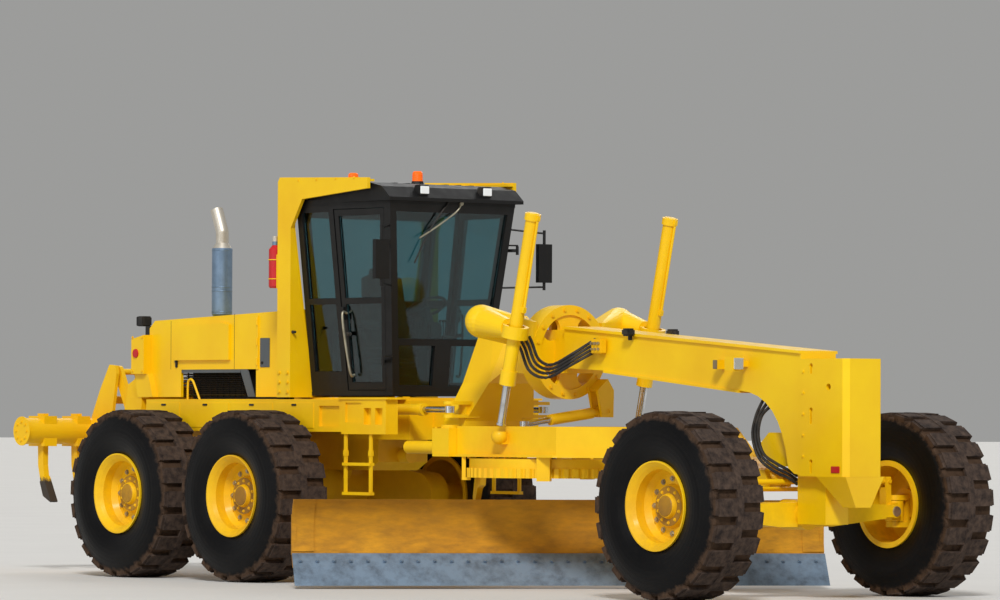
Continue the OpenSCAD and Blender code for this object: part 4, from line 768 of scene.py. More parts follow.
class Repeater:
    """Geometry Nodes trees that set one small form on many marked spots."""

    def __init__(self) -> None:
        """Build both trees."""
        self.bolts = self.bolt_tree()
        self.bars = self.bar_tree()

    @staticmethod
    def begin(name: str, inputs: list[tuple[str, str]]) -> tuple[bpy.types.NodeTree, bpy.types.Node]:
        """Start a tree with named inputs.

        Args:
            name: Tree's name.
            inputs: Name and socket type of each input after the geometry.

        Returns:
            The tree and its input node.
        """
        tree = bpy.data.node_groups.new(name, "GeometryNodeTree")
        face = tree.interface
        face.new_socket("Geometry", in_out="INPUT", socket_type="NodeSocketGeometry")
        for label, kind in inputs:
            face.new_socket(label, in_out="INPUT", socket_type=kind)
        face.new_socket("Geometry", in_out="OUTPUT", socket_type="NodeSocketGeometry")
        return tree, add(tree, "NodeGroupInput")

    @staticmethod
    def end(tree: bpy.types.NodeTree, shape: bpy.types.NodeSocket, material: bpy.types.NodeSocket) -> None:
        """Realize the instances, set the material and close the tree.

        Args:
            tree: Tree to close.
            shape: Output socket with the instances.
            material: Output socket with the material.
        """
        real = add(tree, "GeometryNodeRealizeInstances", {0: shape})
        dressed = add(tree, "GeometryNodeSetMaterial", {"Geometry": real.outputs[0], "Material": material})
        add(tree, "NodeGroupOutput", {0: dressed.outputs[0]})

    def bolt_tree(self) -> bpy.types.NodeTree:
        """Make the tree of hexagon heads on washers, standing along each spot's axis.

        Returns:
            The tree.
        """
        inputs = [("Radius", "NodeSocketFloat"), ("Height", "NodeSocketFloat"),
                  ("Material", "NodeSocketMaterial")]
        tree, given = self.begin("bolt_heads", inputs)
        head = add(tree, "GeometryNodeMeshCylinder", {"Vertices": 6, "Radius": given.outputs["Radius"],
                                                      "Depth": given.outputs["Height"]})
        wide = add(tree, "ShaderNodeMath", {0: given.outputs["Radius"], 1: 1.45}, operation="MULTIPLY")
        thin = add(tree, "ShaderNodeMath", {0: given.outputs["Height"], 1: 0.35}, operation="MULTIPLY")
        washer = add(tree, "GeometryNodeMeshCylinder", {"Vertices": 14, "Radius": wide.outputs[0],
                                                        "Depth": thin.outputs[0]})
        half = add(tree, "ShaderNodeMath", {0: given.outputs["Height"], 1: 0.5}, operation="MULTIPLY")
        raised = add(tree, "ShaderNodeCombineXYZ", {"Z": half.outputs[0]})
        lifted = add(tree, "GeometryNodeTransform", {"Geometry": head.outputs[0],
                                                     "Translation": raised.outputs[0]})
        both = add(tree, "GeometryNodeJoinGeometry", {0: washer.outputs[0]})
        tree.links.new(lifted.outputs[0], both.inputs[0])
        axis = add(tree, "GeometryNodeInputNamedAttribute", {"Name": "axis"}, data_type="FLOAT_VECTOR")
        turn = add(tree, "FunctionNodeAlignRotationToVector", {"Vector": axis.outputs[0]}, axis="Z")
        spots = add(tree, "GeometryNodeInstanceOnPoints", {"Points": given.outputs[0],
                                                           "Instance": both.outputs[0],
                                                           "Rotation": turn.outputs[0]})
        self.end(tree, spots.outputs[0], given.outputs["Material"])
        return tree

    def bar_tree(self) -> bpy.types.NodeTree:
        """Make the tree of boxes of one size and turn, one on each spot.

        Returns:
            The tree.
        """
        inputs = [("Size", "NodeSocketVector"), ("Turn", "NodeSocketRotation"),
                  ("Material", "NodeSocketMaterial")]
        tree, given = self.begin("bar_row", inputs)
        cube = add(tree, "GeometryNodeMeshCube", {"Size": given.outputs["Size"]})
        spots = add(tree, "GeometryNodeInstanceOnPoints", {"Points": given.outputs[0],
                                                           "Instance": cube.outputs[0],
                                                           "Rotation": given.outputs["Turn"]})
        self.end(tree, spots.outputs[0], given.outputs["Material"])
        return tree

    def grow(self, tree: bpy.types.NodeTree, name: str, body: str, spots: Spots,
             values: dict[str, object], finish: Finish, slot: str) -> bpy.types.Object:
        """Set the tree's form on the spots and keep the result as a plain mesh.

        Args:
            tree: Tree to use.
            name: Piece's name.
            body: Body it rides on.
            spots: Place and axis of each form, in millimetres.
            values: Value of each named input.
            finish: Its finish.
            slot: A record's material slot name; not used.

        Returns:
            The piece.
        """
        marks = bpy.data.meshes.new(name + "_marks")
        marks.from_pydata([at(*place) for place, _ in spots], [], [])
        axes = marks.attributes.new("axis", "FLOAT_VECTOR", "POINT")
        for mark, (_, axis) in zip(axes.data, spots):
            mark.vector = axis
        holder = bpy.data.objects.new(name + "_holder", marks)
        bpy.context.scene.collection.objects.link(holder)
        repeat = holder.modifiers.new("repeat", "NODES")
        repeat.node_group = tree
        idents = {item.name: item.identifier for item in tree.interface.items_tree if item.in_out == "INPUT"}
        for label, value in {**values, "Material": SHOP.get(finish)}.items():
            repeat[idents[label]] = value
        graph = bpy.context.evaluated_depsgraph_get()
        mesh = bpy.data.meshes.new_from_object(holder.evaluated_get(graph))
        mesh.name = name
        holder.modifiers.clear()
        bpy.data.objects.remove(holder)
        return settle(mesh, name, body, finish)

    def bolt(self, name: str, body: str, spots: Spots, r: float = 14.0, finish: Finish = BOLT,
             slot: str = "paint") -> bpy.types.Object:
        """Grow hexagon bolts of radius r, in millimetres."""
        values = {"Radius": r * MM, "Height": r * 0.9 * MM}
        return self.grow(self.bolts, name, body, spots, values, finish, slot)

    def bar(self, name: str, body: str, places: list[Point], size: Point, finish: Finish, slot: str,
            turn: Point = (0.0, 0.0, 0.0)) -> bpy.types.Object:
        """Grow boxes of one size, in millimetres, turned by angles in degrees."""
        values = {"Size": [s * MM for s in size], "Turn": [math.radians(t) for t in turn]}
        return self.grow(self.bars, name, body, [(p, (0, 0, 1)) for p in places], values, finish, slot)


ROWS = Repeater()


def dress(finish: Finish, *nodes: str) -> None:
    """Give CAD nodes a finish.

    Args:
        finish: The finish.
        nodes: Nodes' names.
    """
    for node in nodes:
        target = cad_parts[node]
        target.data.materials.clear()
        target.data.materials.append(SHOP.get(finish))
        LOG.info("%s finished in %s", node, finish.name)


def circle_spots(centre: Point, axis: Point, r: float, count: int, turn: float = 0.0) -> Spots:
    """Spots evenly round a circle.

    Args:
        centre: Circle's centre.
        axis: Direction the forms stand along.
        r: Circle's radius.
        count: How many.
        turn: Angle of the first, in degrees.

    Returns:
        Place and axis of each.
    """
    turned = Vector(axis).to_track_quat("Z", "Y").to_matrix()
    spots = []
    for i in range(count):
        a = math.radians(turn) + 2 * math.pi * i / count
        place = Vector(centre) + turned @ Vector((r * math.cos(a), r * math.sin(a), 0))
        spots.append((tuple(place), axis))
    return spots


@dataclass
class Wheels:
    """Six wheels: nuts on the disc, hub covers, valve stems."""

    disc: float = 66.0
    hub: float = 110.0
    end: float = 150.0
    nut_circle: float = 232.0
    nuts: int = 12
    stud_circle: float = 140.0
    studs: int = 10
    hub_r: float = 169.0
    end_r: float = 92.0
    axle_z: float = 800.0
    front_x: float = 0.0
    front_y: float = 1325.0
    middle_x: float = -6160.0
    rear_x: float = -8000.0
    tandem_y: float = 1245.0

    def build(self) -> None:
        """Dress every wheel about its own centre."""
        axles = (("front", "f", self.front_x, self.front_y), ("middle", "m", self.middle_x, self.tandem_y),
                 ("rear", "r", self.rear_x, self.tandem_y))
        for place, key, x, y in axles:
            for side in SIDES:
                hand = "left" if side > 0 else "right"
                self.wheel(f"{place}_{hand}", f"{key}{hand[0]}", (x, side * y, self.axle_z), side)

    def wheel(self, name: str, key: str, centre: Point, side: int) -> None:
        """Dress one wheel.

        Args:
            name: Wheel's place.
            key: Short name its CAD nodes end with.
            centre: Wheel's centre.
            side: Plus one on the left, minus one on the right.
        """
        x, y, z = centre
        body = "wheel_" + name
        dress(Tread("tyre_rubber_" + name, centre), "tyre_" + key)
        dress(RIM_YELLOW, "rim_" + key)
        axis = (0.0, float(side), 0.0)
        nuts = circle_spots((x, y + side * (self.disc + 4), z), axis, self.nut_circle, self.nuts)
        ROWS.bolt("wheel_nuts_" + name, body, nuts, 17.0, BOLT, "rim_paint")
        studs = circle_spots((x, y + side * (self.hub + 3), z), axis, self.stud_circle, self.studs, 18.0)
        ROWS.bolt("hub_bolts_" + name, body, studs, 11.0, RIM_YELLOW, "rim_paint")
        cover = Shape()
        for face, rise, r, crown, sides in ((self.hub, 4, self.hub_r, 0, 48), (self.end, 7, self.end_r, 8, 40)):
            cover.rod((x, y + side * (face - 2), z), (x, y + side * (face + rise), z), r, r - crown, sides)
        # The covers' brown is partly dust and partly painted shade of the dish's recess
        cover.done("hub_cover_" + name, body, HUB_DUST_AND_SHADE, "rim_paint")
        stem = Shape()
        stem.tube([(x + 290, y + side * 60, z + 20), (x + 300, y + side * 110, z + 20),
                   (x + 290, y + side * 150, z + 18)], 7)
        stem.done("valve_stem_" + name, body, TRIM, "tyre")


@dataclass
class Hood:
    """Engine hood: latches, hinges, seams, cooling slats, grey plates, muffler bands, lamps."""

    side: float = 550.0
    hinge_x: float = -7050.0
    hinge_z: Point = (2060.0, 2250.0, 2440.0)
    muffler_x: float = -8400.0
    band_z: tuple[float, ...] = (2560.0, 2762.0, 2800.0, 3160.0)
    rail_y: float = 872.0
    beacons: tuple[tuple[float, float], ...] = ((-6000.0, -220.0), (-5300.0, 0.0))
    lamp_y: float = 400.0
    slat_pitch: float = 36.0
    slat_low: float = 1842.0
    slat_high: float = 2310.0

    def build(self) -> None:
        """Dress the hood and its lamps."""
        dress(CLEAN_YELLOW, "hood")
        dress(MUFFLER, "exhaust_stack")
        dress(FRAME_DARK, "engine_block")
        self.hardware()
        self.openings()
        self.lamps()

    def hardware(self) -> None:
        """Add latches, hinge knuckles, seams, grey plates, caps, muffler bands and handrails."""
        latches, hinges, seams, plates = Shape(), Shape(), Shape(), Shape()
        for s in SIDES:
            latches.box((-8392, s * (self.side - 2), 2010), (-8362, s * (self.side + 16), 2082), 6)
            latches.rod((-8377, s * (self.side + 10), 2068), (-8377, s * (self.side + 22), 2068), 12)
            latches.box((-6985, s * (self.side + 6), 2040), (-6955, s * (self.side + 18), 2062), 3)
            y = s * (self.side + 14)
            for z in self.hinge_z:
                hinges.rod((self.hinge_x, y, z - 34), (self.hinge_x, y, z + 34), 11)
            for x, top in ((-8482, 2462), (-7435, 2520)):
                seams.box((x, s * (self.side - 2), 1992), (x + 5, s * (self.side + 0.8), top), 0)
            plates.box((-7010, s * (self.side - 1), 2008), (-6860, s * (self.side + 8), 2285), 5)
        latches.done("hood_latches", "rear_frame", TRIM, "paint")
        hinges.done("hood_hinge_knuckles", "rear_frame", YELLOW, "paint")
        seams.done("hood_panel_gaps", "rear_frame", FRAME_DARK, "paint")
        plates.done("hood_grey_plates", "rear_frame", GREY_PLATE, "paint")
        caps = Shape()
        caps.rod((-8620, 0, 2468), (-8620, 0, 2502), 62, 56, 36)
        caps.rod((-8620, 0, 2500), (-8620, 0, 2512), 30, 24)
        caps.done("radiator_cap", "rear_frame", TRIM, "paint")
        bands = Shape()
        for z in self.band_z:
            bands.ring((self.muffler_x, 0, z), (0, 0, 1), 100, 4)
        bands.done("muffler_bands", "rear_frame", MUFFLER, "exhaust_metal")
        rails = Shape()
        for s in SIDES:
            bend = ((-7745, 1692), (-7742, 1850), (-7715, 1888), (-7665, 1880), (-7610, 1800), (-7545, 1692))
            rails.tube([(x, s * self.rail_y, z) for x, z in bend], 11)
        rails.done("step_handrails", "rear_frame", YELLOW, "paint")
        corner = [((x, s * 650.0, z), (0.0, float(s), 0.0))
                  for s in SIDES for x in (-8985, -8825) for z in (1975, 2305)]
        ROWS.bolt("corner_box_bolts", "rear_frame", corner, 10.0, YELLOW)

    def openings(self) -> None:
        """Fill the hood's openings: cooling slats behind, cooler core and grey braces at the sides."""
        count = int((self.slat_high - self.slat_low) / self.slat_pitch) + 1
        rows = [(-8824.0, 0.0, self.slat_low + i * self.slat_pitch) for i in range(count)]
        ROWS.bar("rear_grille_slats", "rear_frame", rows, (26, 868, 4), CAB_BLACK, "paint", (0, 35, 0))
        uprights = Shape()
        for y in (-290, 0, 290):
            uprights.box((-8812, y - 8, 1815), (-8800, y + 8, 2325), 2)
        uprights.done("rear_grille_uprights", "rear_frame", CAB_BLACK, "paint")
        for s, hand in HANDS:
            core = [(-7800.0, s * (self.side - 50), 1745.0 + 20 * i) for i in range(12)]
            ROWS.bar("cooler_core_fins_" + hand, "rear_frame", core, (960, 30, 3), FRAME_DARK,
                     "engine_paint", (s * 20, 0, 0))
            posts = [(-8280.0 + 96 * i, s * (self.side - 68), 1857.0) for i in range(11)]
            ROWS.bar("cooler_core_tubes_" + hand, "rear_frame", posts, (6, 14, 260), FRAME_DARK,
                     "engine_paint")
            brace = Shape()
            y = s * (self.side - 10)
            brace.plate([(-7345, 1989), (-7225, 1989), (-7110, 1727), (-7215, 1727)], y, 12)
            brace.plate([(-8305, 1989), (-7345, 1989), (-7345, 1958), (-8305, 1958)], y, 12)
            brace.done("hood_brace_" + hand, "rear_frame", GREY_PLATE, "paint")

    def lamps(self) -> None:
        """Replace the plain lamps with bases, domes, housings and lenses."""
        bases, domes, lenses = Shape(), Shape(), Shape()
        for x, y in self.beacons:
            bases.rod((x, y, 3699), (x, y, 3728), 62, 58, 40).rod((x, y, 3727), (x, y, 3741), 54, 54, 40)
            domes.rod((x, y, 3740), (x, y, 3822), 50, 47, 40).rod((x, y, 3821), (x, y, 3834), 47, 34, 40)
            for z in (3756, 3776, 3796):
                domes.ring((x, y, z), (0, 0, 1), 49, 2)
        for s in SIDES:
            y = s * self.lamp_y
            bases.box((-9190, y - 60, 2420), (-9095, y + 60, 2520), 12)
            bases.box((-9206, y - 56, 2424), (-9188, y + 56, 2516), 8)
            bases.box((-9110, y - 14, 2330), (-8842, y + 14, 2424), 4)
            lenses.box((-9210, y - 48, 2432), (-9204, y + 48, 2508), 2)
            lenses.rod((-8930, s * 650.4, 2150), (-8930, s * 662, 2150), 45, 42, 32)
        bases.done("lamp_bases", "rear_frame", TRIM, "lamp_body")
        domes.done("beacon_domes", "rear_frame", AMBER, "lamp_body")
        lenses.done("rear_lamp_lenses", "rear_frame", RED, "lamp_body")
        for name in ("lamp_bases", "beacon_domes", "rear_lamp_lenses"):
            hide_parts("lamps")


@dataclass
class Cab:
    """Operator's cab: seat, controls, wiper, lamps, mirrors, grab bars, extinguisher, roof."""

    seat_x: float = -5545.0
    seat_z: float = 2142.0
    back_x: float = -5800.0
    back_z: float = 2520.0
    arm_y: float = 310.0
    folds: int = 7
    fold_pitch: float = 34.0
    column: Point = (-5160.0, 0.0, 2560.0)
    mirror_y: float = 960.0
    lamp_y: float = 370.0
    stop_y: float = 852.0
    stop_z: float = 2330.0
    bottle: tuple[float, float] = (-6385.0, -842.0)
    bottle_r: float = 62.0
    rail_y: float = 880.0

    def build(self) -> None:
        """Dress the cab from the seat outwards."""
        dress(CAB_BLACK, "cab_shell", "door_r", "door_l")
        # The glass's deep tint partly paints the shade inside the cab
        dress(GLASS_TINT_AND_SHADE, "cab_glass", "door_r_glass", "door_l_glass")
        dress(CLEAN_YELLOW, "rops_frame")
        self.seat()
        self.controls()
        self.front()
        self.sides()
        self.roof()

    def seat(self) -> None:
        """Make the sprung seat with its padded cushions."""
        cushion = Shape().pad((self.seat_x, 0, self.seat_z), (560, 530, 122), 0.42).done(
            "seat_cushion", "rear_frame", VINYL, "interior")
        back = Shape().pad((self.back_x, 0, self.back_z), (760, 470, 130), 0.40, 82).done(
            "seat_back", "rear_frame", VINYL, "interior")
        rest = Shape().pad((self.back_x - 38, 0, self.back_z + 350), (150, 280, 84), 0.45, 84).done(
            "seat_headrest", "rear_frame", VINYL, "interior")
        arms = Shape()
        for s in SIDES:
            arms.pad((self.seat_x - 35, s * self.arm_y, self.seat_z + 270), (350, 66, 54), 0.4)
        arms = arms.done("seat_armrests", "rear_frame", VINYL, "interior")
        base = Shape()
        base.box((-5740, -235, 1772), (-5380, 235, 1800), 8)
        base.box((-5750, -245, 2050), (-5370, 245, 2084), 8)
        for i in range(self.folds):
            z = 1815 + i * self.fold_pitch
            grow = 12 if i % 2 else 0
            base.box((-5725 - grow, -215 - grow, z - 15), (-5395 + grow, 215 + grow, z + 17), 12)
        for s in SIDES:
            inner, outer = s * (self.arm_y - 14), s * (self.arm_y + 14)
            base.box((self.back_x, inner, 2100), (self.back_x + 40, outer, 2400), 6)
            base.box((self.back_x, inner, 2366), (-5480, outer, 2386), 5)
        base = base.done("seat_suspension", "rear_frame", PLASTIC, "interior")
        for piece in (cushion, back, rest, arms, base):
            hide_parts("cab_interior")

    def controls(self) -> None:
        """Make the steering console with its wheel, levers, pedals and rear box."""
        x, y, z = self.column
        stand = Shape()
        stand.box((-5175, -110, 1770), (-4985, 110, 2180), 24)
        stand.box((-5150, -85, 2170), (-5010, 85, 2420), 24)
        stand.rod((-5095, 0, 2400), (x + 8, y, z - 12), 38, 26)
        stand.box((-6018, -445, 1772), (-5905, 445, 2345), 18)
        for s in SIDES:
            stand.box((-5138, s * 112, 2195), (-5028, s * 262, 2300), 16)
            stand.box((-5060, s * 160 - 36, 1775), (-4980, s * 160 + 36, 1800), 5)
        stand = stand.done("control_console", "rear_frame", PLASTIC, "interior")
        axis = Vector((-0.5, 0.0, 0.866))
        wheel = Shape()
        wheel.ring(self.column, tuple(axis), 186, 14, 64, 10)
        wheel.rod(tuple(Vector(self.column) - axis * 20), tuple(Vector(self.column) + axis * 16), 44, 36)
        across = Vector((0.866, 0.0, 0.5))
        for turn in (90, 210, 330):
            spoke = across * math.cos(math.radians(turn)) + Vector((0, 1, 0)) * math.sin(math.radians(turn))
            ends = (tuple(Vector(self.column) + spoke * reach) for reach in (34, 182))
            wheel.rod(*ends, 11, 9, 12)
        wheel = wheel.done("steering_wheel", "rear_frame", TRIM, "interior")
        levers = Shape()
        for s in SIDES:
            for i in range(5):
                px = -5124 + i * 21
                foot = (px, s * (142 + 22 * (i % 2)), 2296)
                top = (px - 16, s * (150 + 22 * (i % 2)), 2436)
                levers.rod(foot, top, 5, 5, 10).ball(top, 13)
        levers = levers.done("control_levers", "rear_frame", TRIM, "interior")
        for piece in (stand, wheel, levers):
            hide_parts("cab_interior")

    def front(self) -> None:
        """Add the windshield wiper and the brow's square lamps."""
        wiper = Shape()
        wiper.tube([(-4752, 90, 3520), (-4766, 40, 3440), (-4772, -200, 3290), (-4779, -380, 3190)], 8)
        wiper.rod((-4790, 90, 3520), (-4742, 90, 3520), 24, 20)
        wiper.done("wiper_arm", "rear_frame", BOLT, "cab_paint")
        blade = Shape()
        blade.tube([(-4748, -60, 3530), (-4774, -260, 3270), (-4800, -420, 2960)], 8, steps=8)
        blade.done("wiper_blade", "rear_frame", TRIM, "cab_paint")
        boxes, faces = Shape(), Shape()
        for s in SIDES:
            y = s * self.lamp_y
            boxes.box((-4800, y - 62, 3585), (-4716, y + 62, 3680), 10)
            faces.box((-4722, y - 50, 3597), (-4709, y + 50, 3668), 5)
        boxes.done("brow_lamp_boxes", "rear_frame", TRIM, "lamp_body")
        faces.done("brow_lamp_faces", "rear_frame", WHITE, "lamp_body")

    def sides(self) -> None:
        """Add grab bars, door handles, the doors' rubber stops and mirror glass."""
        for s, hand in HANDS:
            bar = Shape()
            bar.tube([(-5512, s * 655, 2500), (-5510, s * 712, 2490), (-5486, s * 690, 2210),
                      (-5462, s * 648, 1940), (-5462, s * 605, 1930)], 12)
            bar.done(f"door_grab_bar_{hand}", hand + "_door", BOLT, "cab_paint")
            lock = Shape()
            lock.box((-5540, s * 640, 2290), (-5450, s * 672, 2326), 8)
            lock.rod((-5470, s * 650, 2308), (-5470, s * 684, 2308), 11)
            lock.done(f"door_handle_{hand}", hand + "_door", TRIM, "cab_paint")
        stops, mirrors = Shape(), Shape()
        for s in SIDES:
            stops.rod((-6098, s * self.stop_y, self.stop_z), (-6052, s * self.stop_y, self.stop_z), 15, 12)
            mirrors.box((-4629, s * self.mirror_y - 68, 2816), (-4623, s * self.mirror_y + 68, 3144), 2)
        stops.done("door_stops", "rear_frame", TRIM, "cab_paint")
        mirrors.done("mirror_glass", "rear_frame", CHROME, "glass")
        self.extinguisher()

    def extinguisher(self) -> None:
        """Hang the extinguisher in its cradle behind the roll frame."""
        x, y = self.bottle
        r = self.bottle_r
        bottle, cradle, cap = Shape(), Shape(), Shape()
        bottle.rod((x, y, 2760), (x, y, 3110), r, r, 32)
        bottle.rod((x, y, 3108), (x, y, 3150), r, 26, 32)
        bottle.rod((x, y, 2745), (x, y, 2762), r - 10, r, 32)
        bottle.done("extinguisher_bottle", "rear_frame", RED, "paint")
        cradle.box((x + 63, y - 38, 2740), (x + 86, y + 38, 3060), 4)
        for z in (2830, 3010):
            cradle.ring((x, y, z), (0, 0, 1), r + 2, 5, 40)
            cradle.box((x + 55, y - 18, z - 10), (x + 75, y + 18, z + 10), 2)
        cradle.done("extinguisher_cradle", "rear_frame", YELLOW, "paint")
        cap.rod((x, y, 3148), (x, y, 3232), 30, 30, 24)
        cap.box((x - 40, y - 8, 3205), (x + 25, y + 8, 3226), 4)
        cap.done("extinguisher_valve", "rear_frame", MUFFLER, "paint")

    def roof(self) -> None:
        """Stiffen the roof and bolt the roll frame down."""
        ribs = [(-5450.0, -450.0 + 150 * i, 3703.0) for i in (0, 1, 2, 4, 5, 6)]
        ROWS.bar("roof_ribs", "rear_frame", ribs, (820, 34, 8), CAB_BLACK, "cab_paint")
        feet = [((x, s * self.rail_y, z), (0.0, float(s), 0.0))
                for s in SIDES for x in (-6262, -6134) for z in (1770, 1860, 1950)]
        ROWS.bolt("roll_frame_bolts", "rear_frame", feet, 15.0, YELLOW)
        top = [((x, s * self.rail_y, 3742.0), (0.0, float(s), 0.0))
               for s in SIDES for x in (-5980, -5700, -5400, -5120)]
        ROWS.bolt("roof_rail_bolts", "rear_frame", top, 9.0, YELLOW)


@dataclass
class RearFrame:
    """Rear frame: platform doors, tread pattern, bolts of the tandem covers and the rear box."""

    platform_y: float = 895.0
    deck_z: float = 1700.0
    doors: tuple[tuple[float, float], ...] = ((-8360, -7840), (-7800, -7040), (-7000, -6340), (-6300, -5700))
    stud_pitch: tuple[float, float] = (62.0, 46.0)

    def build(self) -> None:
        """Dress the rear frame."""
        dress(YELLOW, "rear_frame", "tandem_cases", "side_platforms")
        doors, handles = Shape(), Shape()
        for s in SIDES:
            inner, face, outer = (s * (self.platform_y + step) for step in (-2, 5, 14))
            for x0, x1 in self.doors:
                doors.box((x0, inner, 1432), (x1, face, 1668), 3)
                middle = (x0 + x1) / 2
                handles.box((middle - 36, face - 2 * s, 1640), (middle + 36, outer, 1658), 4)
        doors.done("platform_doors", "rear_frame", YELLOW, "paint")
        handles.done("platform_door_handles", "rear_frame", TRIM, "paint")
        along, across = self.stud_pitch
        studs = [(-8350.0 + along * (i + (j % 2) / 2), s * (600.0 + across * j), self.deck_z + 1)
                 for i in range(42) for j in range(6) for s in SIDES]
        ROWS.bar("tread_plate_studs", "rear_frame", studs, (34, 7, 3), YELLOW, "paint", (0, 0, 45))
        covers = [((-7800.0 + 160 * i, s * 900.0, z), (0.0, float(s), 0.0)) for s in SIDES for i in range(10)
                  for z in (640, 960)]
        ROWS.bolt("tandem_cover_bolts", "rear_frame", covers, 12.0, YELLOW)
        back = [((-9160.0, y, z), (-1.0, 0.0, 0.0))
                for y in (-540, -380, 380, 540) for z in (1300, 1480, 1660)]
        ROWS.bolt("counterweight_bolts", "rear_frame", back, 18.0, YELLOW)


@dataclass
class FrontFrame:
    """Boom: lamps and reflectors, valve blocks, pipes, bolts, caps of the lean pins."""

    ring_x: tuple[float, float] = (-3250.0, -3050.0)
    ring_z: float = 2130.0
    ring_bolts: float = 384.0
    side: float = 200.0
    lamp_y: float = 340.0
    lamp_z: float = 2010.0
    port_x: float = -2395.0
    port_pitch: float = 45.0
    pipe_z: float = 2020.0
    pipe_pitch: float = 26.0
    clips: tuple[float, float] = (-1820.0, -1120.0)
    pin: tuple[float, float] = (1050.0, 740.0)

    def build(self) -> None:
        """Dress the front frame."""
        dress(CLEAN_YELLOW, "front_frame", "lift_ring")
        dress(YELLOW, "axle_beam", "lean_bracket_r", "lean_bracket_l", "lean_bar", "knuckle_r",
              "knuckle_l", "tie_rod")
        dress(HOSE, "hoses")
        self.lights()
        self.valves()
        self.bolts()

    def lights(self) -> None:
        """Add head lamp lenses, side lenses, reflectors and the boom's work lamps."""
        faces, glass, brown, red, black = Shape(), Shape(), Shape(), Shape(), Shape()
        for s in SIDES:
            y, z = s * self.lamp_y, self.lamp_z
            faces.box((-374, y - 48, z - 48), (-366, y + 48, z + 48), 3)
            glass.box((-366, y - 50, z - 50), (-355, y + 50, z + 50), 4)
            brown.box((-742, s * 299, 1967), (-688, s * 307, 2043), 3)
            red.box((690, s * 219, 1082), (795, s * 229, 1138), 4)
            black.box((-1985, s * 215, 2262), (-1880, s * 300, 2330), 14)
            black.box((-1950, s * 222, 2225), (-1915, s * 250, 2268), 4)
        faces.done("head_lamp_reflectors", "front_frame", WHITE, "lamp_body")
        glass.done("head_lamp_lenses", "front_frame", LENS, "lamp_body")
        brown.done("side_lenses", "front_frame", BROWN, "lamp_body")
        red.done("nose_reflectors", "front_frame", RED, "lamp_body")
        black.done("boom_work_lamps", "front_frame", TRIM, "lamp_body")

    def valves(self) -> None:
        """Add the valve block, its ports and the steel pipes on the boom's left."""
        block, ports, pipes = Shape(), Shape(), Shape()
        for s in SIDES:
            block.box((-2420, s * 215, 2110), (-2280, s * 285, 2240), 8)
            for i in range(3):
                x = self.port_x + self.port_pitch * i
                ports.rod((x, s * 284, 2200), (x, s * 306, 2200), 15, 13, 6)
                ports.rod((x, s * 284, 2150), (x, s * 302, 2150), 12, 12, 6)
        y = self.side + 9
        for i in range(4):
            z = self.pipe_z + self.pipe_pitch * i
            pipes.tube([(-2260, y, z), (-1500, y, z), (-900, y, z), (-640, y, z - 20)], 7, 10, 3)
        for x in self.clips:
            pipes.box((x, y - 10, self.pipe_z - 12), (x + 30, y + 9, self.pipe_z + 92), 3)
        block.done("boom_valve_blocks", "front_frame", YELLOW, "paint")
        ports.done("boom_valve_ports", "front_frame", BOLT, "paint")
        pipes.done("boom_pipes", "front_frame", YELLOW, "paint")

    def bolts(self) -> None:
        """Bolt the lift ring and nose, and cap the lean pins."""
        ring = []
        for x, way in zip(self.ring_x, (-1.0, 1.0)):
            ring += circle_spots((x, 0, self.ring_z), (way, 0.0, 0.0), self.ring_bolts, 16, 10)
        ROWS.bolt("lift_ring_bolts", "front_frame", ring, 15.0, YELLOW)
        nose = [((330.0, s * 220.0, 1220.0 + 180 * i), (0.0, float(s), 0.0)) for s in SIDES for i in range(5)]
        ROWS.bolt("nose_bolts", "front_frame", nose, 12.0, CLEAN_YELLOW)
        for s, hand in HANDS:
            y, z = s * self.pin[0], self.pin[1]
            pins = Shape()
            for way in SIDES:
                pins.rod((way * 134, y, z), (way * 146, y, z), 46, 42, 32)
            pins.done(f"lean_pin_caps_{hand}", "front_frame", BOLT, "paint")


@dataclass
class Drawbar:
    """Drawbar, circle and its drive: rows of bolts."""

    circle: Point = (-3100.0, 0.0, 1170.0)
    bolt_circle: float = 748.0

    def build(self) -> None:
        """Dress the drawbar group."""
        dress(YELLOW, "drawbar_ball", "drawbar", "circle_drive", "circle_gear", "blade_arms")
        round_it = circle_spots(self.circle, (0.0, 0.0, 1.0), self.bolt_circle, 28, 4)
        ROWS.bolt("circle_bolts", "circle", round_it, 13.0, YELLOW)
        case = [((x, y, 1440.0), (0.0, 0.0, 1.0)) for x in (-3975, -3880, -3785) for y in (-808, -632)]
        ROWS.bolt("drive_case_bolts", "drawbar", case, 12.0, YELLOW)
        ends = circle_spots((-4490, -720, 1265), (-1.0, 0.0, 0.0), 42, 6)
        ROWS.bolt("drive_motor_bolts", "drawbar", ends, 8.0, BOLT)


@dataclass
class Blade:
    """Moldboard: edge bolts along the blade's own axes."""

    half: float = 2400.0
    pitch: float = 152.0
    shift: float = -27.8
    circle_x: float = -3100.0
    # The blade stands 30 degrees round, and its edge's face looks this far forward and up
    ahead: float = 0.5
    aside: float = 0.866
    normal: tuple[float, float] = (0.7243, 0.6895)
    bolt_v: float = -53.18
    bolt_z: float = 247.8

    def spot(self, u: float, v: float, z: float) -> Point:
        """Turn blade axes into millimetres of the machine."""
        u += self.shift
        return (self.circle_x + u * self.ahead + v * self.aside, u * self.aside - v * self.ahead, z)

    def build(self) -> None:
        """Dress the blade."""
        # The moldboard's darker ochre is partly painted shade, partly soil streaks
        dress(BLADE_SHADED_YELLOW, "moldboard")
        dress(EDGE, "cutting_edge")
        forward, up = self.normal
        normal = (forward * self.aside, -forward * self.ahead, up)
        count = int(2 * self.half / self.pitch)
        bolts = []
        for i in range(count + 1):
            u = -self.half + 30 + i * self.pitch
            bolts.append((self.spot(u, self.bolt_v, self.bolt_z), normal))
        ROWS.bolt("edge_bolts", "blade", bolts, 13.0, EDGE, "edge_steel")


